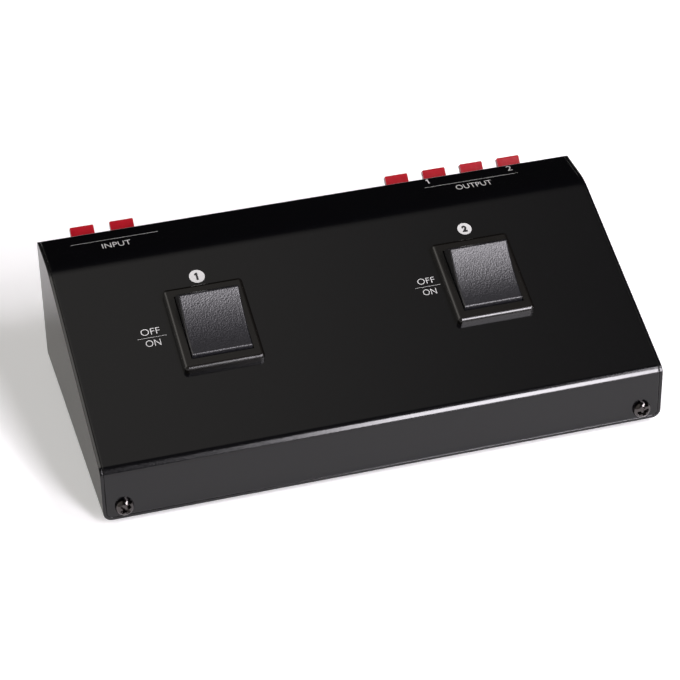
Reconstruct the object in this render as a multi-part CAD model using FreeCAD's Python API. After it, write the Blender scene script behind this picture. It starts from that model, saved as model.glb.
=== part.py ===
import FreeCAD, Part
import math
import os

# Two-pair speaker selector switch: a wedge-shaped folded steel case with two rocker switches on the
# slope and two blocks of spring terminals on the rear panel.  Millimetres, +Z up, front face to -Y.
# The case frame used below has Y = 0 on the front face and Z = 0 on the underside of the base sheet.

# ---- driving dimensions: case ----
CASE_WIDTH = 180.0
CASE_DEPTH = 90.0
CASE_HEIGHT = 46.0
FRONT_HEIGHT = 18.25            # front flange up to the virtual corner with the slope
FLAT_DEPTH = 17.0               # level strip along the rear top edge
SHEET = 1.0
PAINT_GAP = 0.15                # between the cover and the base sheets
BASE_BEND = 2.8                 # outer bend radii
FRONT_BEND = 3.0
SLOPE_BEND = 20.0
REAR_BEND = 1.5
TAB_WIDTH = 11.0                # lugs inside the base that take the cover screws
TAB_HEIGHT = 8.5
FOOT_DIAMETER = 11.0
FOOT_HEIGHT = 2.0
FOOT_INSET = 12.0
FOOT_EDGE = 0.5

# ---- driving dimensions: fasteners ----
SCREW_RADIUS = 1.5
SCREW_LENGTH = 6.0
SCREW_HEAD_RADIUS = 2.9
SCREW_HEAD_HEIGHT = 2.1
SCREW_EDGE = 1.0                # rounding of the pan head
CROSS_WIDTH = 0.75
CROSS_SPAN = 3.4
CROSS_DEPTH = 1.1
THREAD_GAP = 0.05
TOUCH = 1e-6                    # two places closer than this are the same
COVER_SCREW_INSET = 6.6         # from the case side to the screw axis
COVER_SCREW_HEIGHT = 4.5
NUT_FLATS = 5.5
NUT_HEIGHT = 2.4

# ---- driving dimensions: rocker switches ----
SWITCH_INSET = 45.9             # from the case side to the middle of the switch
SWITCH_DOWN_SLOPE = 33.0        # from the virtual rear corner of the slope to the rocker axis
BEZEL_WIDTH = 25.6
BEZEL_LENGTH = 31.2
BEZEL_HEIGHT = 2.5
BEZEL_CORNER = 1.3
BEZEL_EDGE = 1.15
HOUSING_SIDE_WALL = 1.3
HOUSING_END_WALL = 1.8
HOUSING_DEPTH = 19.0            # below the panel surface
HOUSING_FLOOR = 1.2
CUTOUT_GAP = 0.2                # around a body that sits in a panel cut-out
CLIP_REACH = 0.8                # snap wedges under the panel
CLIP_WIDTH = 9.0
CLIP_LENGTH = 3.2
ROCKER_WIDTH = 19.2
ROCKER_RADIUS = 11.8            # end faces, about the rocker axis
ROCKER_EDGE_ANGLE = 56.5        # top edges, from the normal through the axis
ROCKER_SKIRT_ANGLE = 98.0       # lower edges
ROCKER_DISH = 1.3               # hollow of the finger face
ROCKER_THROW = 16.0             # each way from the middle
ROCKER_WALL = 1.4
ROCKER_GAP = 0.3
ROCKER_ROUND = 0.5
TRUNNION_RADIUS = 2.0
TRUNNION_REACH = 0.75           # past the rocker side, into the housing wall
RUNNING_GAP = 0.05
POLE_OFFSET = 4.8               # each of the two poles from the middle
PLUNGER_RADIUS = 1.5
PLUNGER_REACH = 10.2            # rocker axis to the plunger tip
PLUNGER_LENGTH = 8.7
GUIDE_WALL = 1.0
GUIDE_REACH = 6.0
SPRING_WIRE = 0.5
SPRING_LENGTH = 4.4
BLADE_WIDTH = 4.0
BLADE_SHEET = 0.7
BLADE_HALF_LENGTH = 8.6
BLADE_TILT = 7.0                # each way
BLADE_GAP = 0.2
PLUNGER_GAP = 0.35              # under the plunger as it passes the middle
RIVET_RADIUS = 1.4
RIVET_HEIGHT = 0.5
TAB_TERMINAL_WIDTH = 4.8
TAB_TERMINAL_SHEET = 0.8
TAB_TERMINAL_REACH = 6.5        # below the housing floor

# ---- driving dimensions: spring terminal blocks ----
TERMINAL_PITCH = 13.1
INPUT_COLUMNS = 2
OUTPUT_COLUMNS = 4
INPUT_INSET = 2.3               # from the case side to the flange's end
OUTPUT_INSET = 4.4
BLOCK_DROP = 3.2                # flange below the level strip
BLOCK_FLANGE_HEIGHT = 29.2
BLOCK_FLANGE = 2.5
BLOCK_EAR = 6.6
BLOCK_BODY_HEIGHT = 25.6
BLOCK_BODY_DEPTH = 13.0         # inside the rear face
BLOCK_SIDE_WALL = 2.85
BLOCK_ROUND = 1.2
LEVER_WIDTH = 7.8
LEVER_GAP = 0.3
LEVER_THICKNESS = 2.4
LEVER_LEVEL = 8.6               # underside of the lever beam above the block centre
LEVER_REACH = 9.4               # finger tab past the rear face
LEVER_RISE = 4.6                # upturned lip above the beam
LEVER_LIP_LEAN = 46.0           # lip to the level
LEVER_LIP_THICKNESS = 2.0
LEVER_TRAVEL = 10.0
LEVER_PIVOT_DEPTH = 9.5
LEVER_PIN_RADIUS = 1.1
LEVER_PIN_REACH = 1.0
LEVER_ROUND = 0.5
WIRE_HOLE_RADIUS = 1.6
WIRE_HOLE_FLARE = 0.6
WIRE_HOLE_LEVEL = 3.6
CONTACT_SHEET = 0.5
CONTACT_WIDTH = 6.0
CONTACT_LEVEL = 1.5
CONTACT_HEIGHT = 5.4
CONTACT_TONGUE = 5.0
CONTACT_BEND = 0.9
TAG_REACH = 5.0                 # past the back plate
TAG_HOLE_RADIUS = 0.9
BACK_PLATE = 1.2

# ---- driving dimensions: inner wiring ----
WIRE_RADIUS = 0.8
WIRE_CORE_RADIUS = 0.45
WIRE_BEND = 2.0
WIRE_OVERLAP = 3.0              # bare end lying on its tag
WIRE_STRIP = 0.5                # bare past the end of the tag
SOLDER_GAP = 0.02
WIRE_PAIR = 1.5                 # either side of the middle where two wires share a tag
WIRE_GAP = 0.2                  # between wires that cross
LEAD_LENGTH = 5.0               # straight along a switch tab before a wire turns down
INPUT_STEP = 5.4                # between the two input risers
LINK_OUTER_STEP = 8.0           # cross runs in front of the middle terminals
LINK_INNER_STEP = 5.6
LONG_LANE = 2.6                 # runs in front of the ends of the solder tags
SHORT_LANE = 4.75
RISER_LANE = 6.5
LONG_DROP = 4.9                 # runs below the lower solder tags
SHORT_OUTER_DROP = 10.3
SHORT_INNER_DROP = 7.6

# ---- worked-out values ----
HALF_WIDTH = CASE_WIDTH / 2
COVER_HALF_WIDTH = HALF_WIDTH - SHEET - PAINT_GAP
FLAT_START = CASE_DEPTH - FLAT_DEPTH
SLOPE_ANGLE = math.degrees(math.atan2(CASE_HEIGHT - FRONT_HEIGHT, FLAT_START))
SLOPE_LENGTH = math.hypot(CASE_HEIGHT - FRONT_HEIGHT, FLAT_START)
SWITCH_UP_SLOPE = SLOPE_LENGTH - SWITCH_DOWN_SLOPE
ORIGIN_Y = (CASE_DEPTH + LEVER_REACH - SCREW_HEAD_HEIGHT) / 2
WELL_WIDTH = ROCKER_WIDTH + 2 * ROCKER_GAP
WELL_LENGTH = 2 * (ROCKER_RADIUS + ROCKER_GAP)
BODY_WIDTH = WELL_WIDTH + 2 * HOUSING_SIDE_WALL
BODY_LENGTH = WELL_LENGTH + 2 * HOUSING_END_WALL
PLUNGER_CENTRE = PLUNGER_REACH - PLUNGER_RADIUS
BLADE_TOP = -(PLUNGER_REACH + PLUNGER_GAP)
BLADE_PIVOT = BLADE_TOP - BLADE_SHEET
THROW = math.radians(ROCKER_THROW)
BLADE_LEAN = math.atan2(-PLUNGER_CENTRE * math.cos(THROW) - BLADE_TOP - PLUNGER_RADIUS - BLADE_GAP,
                        PLUNGER_CENTRE * math.sin(THROW))
BLADE_RISE = BLADE_TILT + math.degrees(BLADE_LEAN)
LEVER_PIVOT_LEVEL = LEVER_LEVEL + LEVER_THICKNESS / 2
SLOT_WIDTH = LEVER_WIDTH + 2 * LEVER_GAP
COVER_FOOT = SHEET + PAINT_GAP
SWITCH_X = (SWITCH_INSET - HALF_WIDTH, HALF_WIDTH - SWITCH_INSET)
BLOCK_CENTRE_HEIGHT = CASE_HEIGHT - BLOCK_DROP - BLOCK_FLANGE_HEIGHT / 2
TAG_END = CASE_DEPTH - BLOCK_BODY_DEPTH - BACK_PLATE - TAG_REACH
LOW_LEVEL = SHEET + WIRE_RADIUS + WIRE_GAP
HIGH_LEVEL = LOW_LEVEL + 2 * WIRE_RADIUS + WIRE_GAP
SIDES = (-1, 1)


def vec(x, y, z):
    return FreeCAD.Vector(x, y, z)


def box(x0, x1, y0, y1, z0, z1):
    """A box between two opposite corners."""
    return Part.makeBox(x1 - x0, y1 - y0, z1 - z0, vec(x0, y0, z0))


def turned(shape, axis, degrees, at=None):
    """A copy turned about an axis through a point."""
    copy = shape.copy()
    copy.rotate(at or vec(0, 0, 0), axis, degrees)
    return copy


def moved(shape, x, y, z):
    copy = shape.copy()
    copy.translate(vec(x, y, z))
    return copy


def fused(shapes):
    return shapes[0].multiFuse(shapes[1:]).removeSplitter()


def extruded(points, x0, x1):
    """A straight-sided outline in the YZ plane, carried from x0 to x1."""
    corners = [vec(x0, y, z) for y, z in points]
    face = Part.Face(Part.makePolygon(corners + corners[:1]))
    return face.extrude(vec(x1 - x0, 0, 0))


def rounded_path(points, radii):
    """Edges of a chain of lines whose inner corners are tangent arcs."""
    edges = []
    start = points[0]
    for before, corner, after, radius in zip(points, points[1:], points[2:], radii):
        back = (before - corner).normalize()
        ahead = (after - corner).normalize()
        half = back.getAngle(ahead) / 2
        reach = radius / math.tan(half)
        middle = (back + ahead).normalize() * (radius / math.sin(half) - radius)
        edges.append(Part.LineSegment(start, corner + back * reach).toShape())
        edges.append(Part.Arc(corner + back * reach, corner + middle, corner + ahead * reach).toShape())
        start = corner + ahead * reach
    edges.append(Part.LineSegment(start, points[-1]).toShape())
    return edges


def rounded_chain(points, radii, x):
    """The same in the YZ plane at a given x."""
    return rounded_path([vec(x, y, z) for y, z in points], radii)


def offset_chain(points, distance):
    """The chain moved sideways by a distance, to the right of its direction of travel."""
    lines = []
    for (y0, z0), (y1, z1) in zip(points, points[1:]):
        length = math.hypot(y1 - y0, z1 - z0)
        along = ((y1 - y0) / length, (z1 - z0) / length)
        lines.append(((y0 + along[1] * distance, z0 - along[0] * distance), along))
    ends = [lines[0][0]]
    for (p, d), (q, e) in zip(lines, lines[1:]):
        cross = d[0] * e[1] - d[1] * e[0]
        step = ((q[0] - p[0]) * e[1] - (q[1] - p[1]) * e[0]) / cross
        ends.append((p[0] + d[0] * step, p[1] + d[1] * step))
    (y0, z0), (y1, z1) = points[-2:]
    length = math.hypot(y1 - y0, z1 - z0)
    ends.append((y1 + (z1 - z0) / length * distance, z1 - (y1 - y0) / length * distance))
    return ends


def bent_strip(points, radii, thickness, x0, x1):
    """Sheet metal folded along a chain; a negative thickness puts the metal to the left of it."""
    inner = offset_chain(points, thickness)
    inner_radii = [max(radius - abs(thickness), abs(thickness) / 4) for radius in radii]
    outer_edges = rounded_chain(points, radii, x0)
    inner_edges = rounded_chain(inner, inner_radii, x0)
    ends = [Part.LineSegment(vec(x0, *points[i]), vec(x0, *inner[i])).toShape() for i in (0, -1)]
    wire = Part.Wire(Part.__sortEdges__(outer_edges + inner_edges + ends))
    return Part.Face(wire).extrude(vec(x1 - x0, 0, 0))


def cylinder(radius, length, at, axis):
    return Part.makeCylinder(radius, length, at, axis)


def edges_near(shape, test):
    return [edge for edge in shape.Edges if test(edge.CenterOfMass)]


# ---- case ----

def case_profile(foot):
    """Outer corners of the case in side view, from the foot of the front face to the rear foot."""
    return [(0, foot), (0, FRONT_HEIGHT), (FLAT_START, CASE_HEIGHT), (CASE_DEPTH, CASE_HEIGHT),
            (CASE_DEPTH, foot)]


def trough(side_inset, floor, bend, over):
    """The space inside a U of sheet: flat floor, upright sides, rounded lower edges along Y."""
    half = HALF_WIDTH - side_inset
    block = box(-half, half, -over, CASE_DEPTH + over, floor, CASE_HEIGHT + over)
    lower = edges_near(block, lambda c: abs(c.z - floor) < TOUCH and abs(abs(c.x) - half) < TOUCH)
    return block.makeFillet(bend, lower)


def cover_screw_places():
    """Screw axes through the front flange and the rear panel: (x, outer face y, outward sign)."""
    x = HALF_WIDTH - COVER_SCREW_INSET
    return [(side * x, y, out) for y, out in ((0, -1), (CASE_DEPTH, 1)) for side in SIDES]


def base_tray():
    """U of sheet: floor and two upright sides cut to the wedge profile, with four screw lugs."""
    chain = rounded_chain(case_profile(0), (FRONT_BEND, SLOPE_BEND, REAR_BEND), -HALF_WIDTH)
    closing = Part.LineSegment(vec(-HALF_WIDTH, CASE_DEPTH, 0), vec(-HALF_WIDTH, 0, 0)).toShape()
    wedge = Part.Face(Part.Wire(chain + [closing])).extrude(vec(CASE_WIDTH, 0, 0))
    outside = trough(0, 0, BASE_BEND, SHEET)
    inside = trough(SHEET, SHEET, BASE_BEND - SHEET, 2 * SHEET)
    tray = outside.common(wedge).cut(inside)
    pieces = [tray]
    for side in SIDES:
        for face in (COVER_FOOT, CASE_DEPTH - COVER_FOOT - SHEET):
            inner, outer = sorted((side * (HALF_WIDTH - SHEET / 2), side * (HALF_WIDTH - TAB_WIDTH)))
            lug = box(inner, outer, face, face + SHEET, SHEET / 2, TAB_HEIGHT)
            pieces.append(lug.common(outside))
    tray = fused(pieces)
    reach = COVER_FOOT + 2 * SHEET
    for x, y, out in cover_screw_places():
        hole = cylinder(SCREW_RADIUS + THREAD_GAP, reach, vec(x, y, COVER_SCREW_HEIGHT), vec(0, -out, 0))
        tray = tray.cut(hole)
    return tray


def top_cover():
    """Front flange, slope, level strip and rear panel in one folded sheet, inside the base sides."""
    radii = (FRONT_BEND, SLOPE_BEND, REAR_BEND)
    sheet = bent_strip(case_profile(COVER_FOOT), radii, SHEET, -COVER_HALF_WIDTH, COVER_HALF_WIDTH)
    room = trough(SHEET + PAINT_GAP, COVER_FOOT, BASE_BEND - COVER_FOOT, SHEET)
    cover = sheet.common(room)
    half_x = BODY_WIDTH / 2 + CUTOUT_GAP
    half_y = BODY_LENGTH / 2 + CUTOUT_GAP
    for x in SWITCH_X:
        cover = cover.cut(on_slope(box(-half_x, half_x, -half_y, half_y, -2 * SHEET, SHEET), x))
    for _, centre, columns in block_places():
        half_w = block_body_width(columns) / 2 + CUTOUT_GAP
        half_h = BLOCK_BODY_HEIGHT / 2 + CUTOUT_GAP
        hole = box(-half_w, half_w, -2 * SHEET, SHEET, -half_h, half_h)
        cover = cover.cut(on_rear(hole, centre))
        for x in ear_screw_offsets(columns):
            hole = cylinder(SCREW_RADIUS + THREAD_GAP, 3 * SHEET, vec(x, -2 * SHEET, 0), vec(0, 1, 0))
            cover = cover.cut(on_rear(hole, centre))
    for x, y, out in cover_screw_places():
        start = vec(x, y + out * SHEET, COVER_SCREW_HEIGHT)
        cover = cover.cut(cylinder(SCREW_RADIUS + THREAD_GAP, 3 * SHEET, start, vec(0, -out, 0)))
    return cover


def rubber_feet():
    """Four round stick-on feet under the corners of the base."""
    feet = []
    for x in (-HALF_WIDTH + FOOT_INSET, HALF_WIDTH - FOOT_INSET):
        for y in (FOOT_INSET, CASE_DEPTH - FOOT_INSET):
            foot = cylinder(FOOT_DIAMETER / 2, FOOT_HEIGHT, vec(x, y, -FOOT_HEIGHT), vec(0, 0, 1))
            rim = edges_near(foot, lambda c: abs(c.z + FOOT_HEIGHT) < TOUCH)
            feet.append(foot.makeFillet(FOOT_EDGE, rim))
    return feet


# ---- fasteners ----

def pan_screw(length):
    """Pan-head cross-recess screw on +Z, with the head above Z = 0."""
    head = cylinder(SCREW_HEAD_RADIUS, SCREW_HEAD_HEIGHT, vec(0, 0, 0), vec(0, 0, 1))
    top = edges_near(head, lambda c: abs(c.z - SCREW_HEAD_HEIGHT) < TOUCH)
    head = head.makeFillet(SCREW_EDGE, top)
    shank = cylinder(SCREW_RADIUS, length + SHEET, vec(0, 0, -length), vec(0, 0, 1))
    floor = SCREW_HEAD_HEIGHT - CROSS_DEPTH
    slot = box(-CROSS_SPAN / 2, CROSS_SPAN / 2, -CROSS_WIDTH / 2, CROSS_WIDTH / 2, floor,
               SCREW_HEAD_HEIGHT + SHEET)
    return head.fuse(shank).removeSplitter().cut(slot).cut(turned(slot, vec(0, 0, 1), 90))


def cover_screws(outward):
    """The pair of screws through the front flange (outward -1) or the rear panel (outward 1)."""
    screws = []
    for x, y, out in cover_screw_places():
        if out == outward:
            screw = turned(pan_screw(SCREW_LENGTH), vec(1, 0, 0), -90 * out)
            screws.append(moved(screw, x, y, COVER_SCREW_HEIGHT))
    return screws


def block_screws():
    """Screws through the ears of both terminal blocks."""
    screws = []
    for _, centre, columns in block_places():
        for x in ear_screw_offsets(columns):
            screw = turned(pan_screw(SCREW_LENGTH + BLOCK_FLANGE), vec(1, 0, 0), -90)
            screws.append(on_rear(moved(screw, x, BLOCK_FLANGE, 0), centre))
    return screws


def block_nuts():
    """Hexagon nuts on those screws, against the inside of the rear panel."""
    nuts = []
    radius = NUT_FLATS / 2 / math.cos(math.pi / 6)
    for _, centre, columns in block_places():
        for x in ear_screw_offsets(columns):
            corners = [(x + radius * math.sin(math.radians(60 * k)),
                        radius * math.cos(math.radians(60 * k))) for k in range(7)]
            face = Part.Face(Part.makePolygon([vec(cx, -SHEET, cz) for cx, cz in corners]))
            nut = face.extrude(vec(0, -NUT_HEIGHT, 0))
            bore = cylinder(SCREW_RADIUS + THREAD_GAP, NUT_HEIGHT + SHEET, vec(x, -SHEET / 2, 0),
                            vec(0, -1, 0))
            nuts.append(on_rear(nut.cut(bore), centre))
    return nuts


# ---- rocker switches: local frame with Y up the slope, Z out of the panel, rocker axis on X ----

def on_slope(shape, x):
    """Place a shape from the switch frame onto the sloping panel."""
    lean = math.radians(SLOPE_ANGLE)
    leaned = turned(shape, vec(1, 0, 0), SLOPE_ANGLE)
    return moved(leaned, x, SWITCH_UP_SLOPE * math.cos(lean),
                 FRONT_HEIGHT + SWITCH_UP_SLOPE * math.sin(lean))


def switch_housing(x):
    """Bezel, open well with trunnion sockets, snap wedges, pole cells and terminal slots."""
    bezel = box(-BEZEL_WIDTH / 2, BEZEL_WIDTH / 2, -BEZEL_LENGTH / 2, BEZEL_LENGTH / 2, 0, BEZEL_HEIGHT)
    uprights = edges_near(bezel, lambda c: abs(c.z - BEZEL_HEIGHT / 2) < TOUCH)
    bezel = bezel.makeFillet(BEZEL_CORNER, uprights)
    bezel = bezel.makeFillet(BEZEL_EDGE, edges_near(bezel, lambda c: abs(c.z - BEZEL_HEIGHT) < TOUCH))
    body = box(-BODY_WIDTH / 2, BODY_WIDTH / 2, -BODY_LENGTH / 2, BODY_LENGTH / 2, -HOUSING_DEPTH,
               BEZEL_HEIGHT / 2)
    pieces = [bezel, body]
    clip_top = -SHEET - PAINT_GAP
    for side in SIDES:
        edge = side * (BODY_LENGTH / 2 - HOUSING_END_WALL / 2)
        tip = side * (BODY_LENGTH / 2 + CLIP_REACH)
        outline = [(edge, clip_top), (tip, clip_top), (edge, clip_top - CLIP_LENGTH)]
        pieces.append(extruded(outline, -CLIP_WIDTH / 2, CLIP_WIDTH / 2))
    housing = fused(pieces)
    floor = -HOUSING_DEPTH + HOUSING_FLOOR
    housing = housing.cut(box(-WELL_WIDTH / 2, WELL_WIDTH / 2, -WELL_LENGTH / 2, WELL_LENGTH / 2,
                              floor, BEZEL_HEIGHT + SHEET))
    divider = box(-HOUSING_FLOOR / 2, HOUSING_FLOOR / 2, -WELL_LENGTH / 2 - HOUSING_END_WALL / 2,
                  WELL_LENGTH / 2 + HOUSING_END_WALL / 2, floor - HOUSING_FLOOR / 2,
                  -GUIDE_REACH - ROCKER_GAP)
    pieces = [housing, divider]
    for pole in SIDES:
        middle = pole * POLE_OFFSET
        rest = BLADE_HALF_LENGTH - RIVET_RADIUS
        pieces.append(box(middle - RIVET_RADIUS, middle + RIVET_RADIUS, -rest - RIVET_RADIUS,
                          -rest + RIVET_RADIUS, floor - HOUSING_FLOOR / 2,
                          closed_blade_underside() - BLADE_GAP))
    housing = fused(pieces)
    for side in SIDES:
        start = vec(side * (WELL_WIDTH / 2 - ROCKER_GAP), 0, 0)
        housing = housing.cut(cylinder(TRUNNION_RADIUS + RUNNING_GAP, ROCKER_GAP + TRUNNION_REACH,
                                       start, vec(side, 0, 0)))
    half_w = TAB_TERMINAL_WIDTH / 2 + RUNNING_GAP
    half_t = TAB_TERMINAL_SHEET / 2 + RUNNING_GAP
    for pole in SIDES:
        middle = pole * POLE_OFFSET
        for y in (0, throw_terminal_offset()):
            housing = housing.cut(box(middle - half_w, middle + half_w, y - half_t, y + half_t,
                                      -HOUSING_DEPTH - SHEET, floor + SHEET))
    return on_slope(housing, x)


def rocker_section(radius, edge_angle, skirt_angle, dish, drop):
    """Side view of the rocker: dished top, end arcs about the axis, flat underside."""
    edge, skirt = math.radians(edge_angle), math.radians(skirt_angle)
    middle = (edge + skirt) / 2
    top_y, top_z = radius * math.sin(edge), radius * math.cos(edge) - drop
    low_y, low_z = radius * math.sin(skirt), radius * math.cos(skirt)
    mid_y, mid_z = radius * math.sin(middle), radius * math.cos(middle)
    dish_arc = Part.Arc(vec(0, -top_y, top_z), vec(0, 0, top_z - dish), vec(0, top_y, top_z))
    edges = [dish_arc.toShape()]
    for side in SIDES:
        corner = vec(0, side * top_y, top_z)
        edges.append(Part.Arc(corner, vec(0, side * mid_y, mid_z), vec(0, side * low_y, low_z)).toShape())
    edges.append(Part.LineSegment(vec(0, -low_y, low_z), vec(0, low_y, low_z)).toShape())
    return Part.Face(Part.Wire(Part.__sortEdges__(edges)))


def in_rocker(shape):
    """Turn a shape from the rocker's middle position to the ON position, front end pressed."""
    return turned(shape, vec(1, 0, 0), ROCKER_THROW)


def rocker(x):
    """Moulded rocker shell with two plunger guides and two trunnions."""
    face = rocker_section(ROCKER_RADIUS, ROCKER_EDGE_ANGLE, ROCKER_SKIRT_ANGLE, ROCKER_DISH, 0)
    body = moved(face.extrude(vec(ROCKER_WIDTH, 0, 0)), -ROCKER_WIDTH / 2, 0, 0)
    top = ROCKER_RADIUS * math.cos(math.radians(ROCKER_EDGE_ANGLE))
    low = ROCKER_RADIUS * math.cos(math.radians(ROCKER_SKIRT_ANGLE))
    body = body.makeFillet(ROCKER_ROUND, edges_near(body, lambda c: c.z > top - ROCKER_DISH - ROCKER_ROUND))
    inner = rocker_section(ROCKER_RADIUS - ROCKER_WALL, ROCKER_EDGE_ANGLE, ROCKER_SKIRT_ANGLE,
                           ROCKER_DISH, ROCKER_WALL)
    room = ROCKER_WIDTH - 2 * ROCKER_WALL
    hollow = moved(inner.extrude(vec(room, 0, 0)), -room / 2, 0, 0)
    below = box(-room / 2, room / 2, -ROCKER_RADIUS + ROCKER_WALL, ROCKER_RADIUS - ROCKER_WALL,
                low - ROCKER_WALL, low + ROCKER_WALL / 2)
    body = body.cut(hollow).cut(below)
    roof = top - ROCKER_DISH - ROCKER_WALL / 2
    pieces = [body]
    for pole in SIDES:
        at = vec(pole * POLE_OFFSET, 0, -GUIDE_REACH)
        guide_radius = PLUNGER_RADIUS + RUNNING_GAP + GUIDE_WALL
        pieces.append(cylinder(guide_radius, roof + GUIDE_REACH, at, vec(0, 0, 1)))
        start = vec(pole * (ROCKER_WIDTH / 2 - ROCKER_WALL / 2), 0, 0)
        pieces.append(cylinder(TRUNNION_RADIUS, ROCKER_WALL / 2 + ROCKER_GAP + TRUNNION_REACH - RUNNING_GAP,
                               start, vec(pole, 0, 0)))
    body = fused(pieces)
    for pole in SIDES:
        at = vec(pole * POLE_OFFSET, 0, -GUIDE_REACH - SHEET)
        depth = SHEET + GUIDE_REACH - PLUNGER_REACH + PLUNGER_LENGTH + SPRING_LENGTH
        body = body.cut(cylinder(PLUNGER_RADIUS + RUNNING_GAP, depth, at, vec(0, 0, 1)))
    return on_slope(in_rocker(body), x)


def plungers(x):
    """Round-nosed plungers that slide in the rocker and tip the contact blades."""
    solids = []
    for pole in SIDES:
        nose = Part.makeSphere(PLUNGER_RADIUS, vec(pole * POLE_OFFSET, 0, -PLUNGER_CENTRE))
        shaft = cylinder(PLUNGER_RADIUS, PLUNGER_LENGTH - PLUNGER_RADIUS,
                         vec(pole * POLE_OFFSET, 0, -PLUNGER_CENTRE), vec(0, 0, 1))
        solids.append(on_slope(in_rocker(nose.fuse(shaft).removeSplitter()), x))
    return solids


def plunger_springs(x):
    """Coil springs above the plungers, drawn as plain sleeves of the coil's size."""
    solids = []
    start = -PLUNGER_REACH + PLUNGER_LENGTH
    for pole in SIDES:
        at = vec(pole * POLE_OFFSET, 0, start)
        outer = cylinder(PLUNGER_RADIUS - RUNNING_GAP, SPRING_LENGTH, at, vec(0, 0, 1))
        inner = cylinder(PLUNGER_RADIUS - RUNNING_GAP - SPRING_WIRE, SPRING_LENGTH, at, vec(0, 0, 1))
        solids.append(on_slope(in_rocker(outer.cut(inner)), x))
    return solids


def closed_blade_underside():
    """Height of the blade's underside at its contact, on the side that is down."""
    lean = math.radians(BLADE_RISE - BLADE_TILT)
    reach = BLADE_HALF_LENGTH - 2 * RIVET_RADIUS
    return BLADE_TOP + reach * math.tan(lean) - BLADE_SHEET / math.cos(lean)


def throw_terminal_offset():
    """Distance of the throw terminal's strip behind the rocker axis."""
    return BLADE_HALF_LENGTH + TAB_TERMINAL_SHEET


def contact_blades(x):
    """A V-shaped see-saw blade for each pole, with a rivet under its rear end, rear end down."""
    solids = []
    rise = math.radians(BLADE_RISE)
    end_y, end_z = BLADE_HALF_LENGTH * math.cos(rise), BLADE_HALF_LENGTH * math.sin(rise)
    skin_y, skin_z = BLADE_SHEET * math.sin(rise), BLADE_SHEET * math.cos(rise)
    root = BLADE_SHEET / math.cos(rise)
    outline = [(-end_y, end_z), (0, 0), (end_y, end_z), (end_y + skin_y, end_z - skin_z), (0, -root),
               (-end_y - skin_y, end_z - skin_z)]
    for pole in SIDES:
        middle = pole * POLE_OFFSET
        strip = extruded(outline, middle - BLADE_WIDTH / 2, middle + BLADE_WIDTH / 2)
        reach = BLADE_HALF_LENGTH - RIVET_RADIUS
        rivet = cylinder(RIVET_RADIUS, RIVET_HEIGHT + BLADE_SHEET / 2,
                         vec(middle, reach, -BLADE_SHEET - RIVET_HEIGHT), vec(0, 0, 1))
        rivet = turned(rivet, vec(1, 0, 0), BLADE_RISE)
        blade = moved(strip.fuse(rivet).removeSplitter(), 0, 0, BLADE_TOP)
        blade = turned(blade, vec(1, 0, 0), -BLADE_TILT, vec(0, 0, BLADE_PIVOT))
        solids.append(on_slope(blade, x))
    return solids


def common_terminals(x):
    """Upright tabs that carry the blades at their middle."""
    solids = []
    root = BLADE_SHEET / math.cos(math.radians(BLADE_RISE))
    for pole in SIDES:
        middle = pole * POLE_OFFSET
        tab = box(middle - TAB_TERMINAL_WIDTH / 2, middle + TAB_TERMINAL_WIDTH / 2,
                  -TAB_TERMINAL_SHEET / 2, TAB_TERMINAL_SHEET / 2,
                  -HOUSING_DEPTH - TAB_TERMINAL_REACH, BLADE_TOP - root - BLADE_GAP)
        solids.append(on_slope(tab, x))
    return solids


def throw_terminals(x):
    """Bent tabs under the rivets, behind the rocker axis."""
    solids = []
    back = throw_terminal_offset() + TAB_TERMINAL_SHEET / 2
    seat = BLADE_HALF_LENGTH - 2 * RIVET_RADIUS - TAB_TERMINAL_SHEET
    top = closed_blade_underside() - RIVET_HEIGHT - 2 * BLADE_GAP
    outline = [(back, -HOUSING_DEPTH - TAB_TERMINAL_REACH), (back, top), (seat, top),
               (seat, top - TAB_TERMINAL_SHEET), (back - TAB_TERMINAL_SHEET, top - TAB_TERMINAL_SHEET),
               (back - TAB_TERMINAL_SHEET, -HOUSING_DEPTH - TAB_TERMINAL_REACH)]
    for pole in SIDES:
        middle = pole * POLE_OFFSET
        tab = extruded(outline, middle - TAB_TERMINAL_WIDTH / 2, middle + TAB_TERMINAL_WIDTH / 2)
        solids.append(on_slope(tab, x))
    return solids


# ---- terminal blocks: local frame with Y = 0 on the rear face and Z = 0 at the block's middle ----

def on_rear(shape, centre):
    return moved(shape, centre, CASE_DEPTH, BLOCK_CENTRE_HEIGHT)


def block_body_width(columns):
    return (columns - 1) * TERMINAL_PITCH + SLOT_WIDTH + 2 * BLOCK_SIDE_WALL


def block_places():
    """Name, middle and column count of each block, set in from the case sides."""
    input_reach = block_body_width(INPUT_COLUMNS) / 2 + BLOCK_EAR
    output_reach = block_body_width(OUTPUT_COLUMNS) / 2 + BLOCK_EAR
    return (("input", INPUT_INSET + input_reach - HALF_WIDTH, INPUT_COLUMNS),
            ("output", HALF_WIDTH - OUTPUT_INSET - output_reach, OUTPUT_COLUMNS))


def ear_screw_offsets(columns):
    reach = block_body_width(columns) / 2 + BLOCK_EAR / 2
    return (-reach, reach)


def column_offsets(columns):
    return [(k - (columns - 1) / 2) * TERMINAL_PITCH for k in range(columns)]


def mirrored(shape, row):
    """The upper row as modelled (row 1), or its mirror image for the lower row (row -1)."""
    return shape if row > 0 else shape.mirror(vec(0, 0, 0), vec(0, 0, 1))


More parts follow.
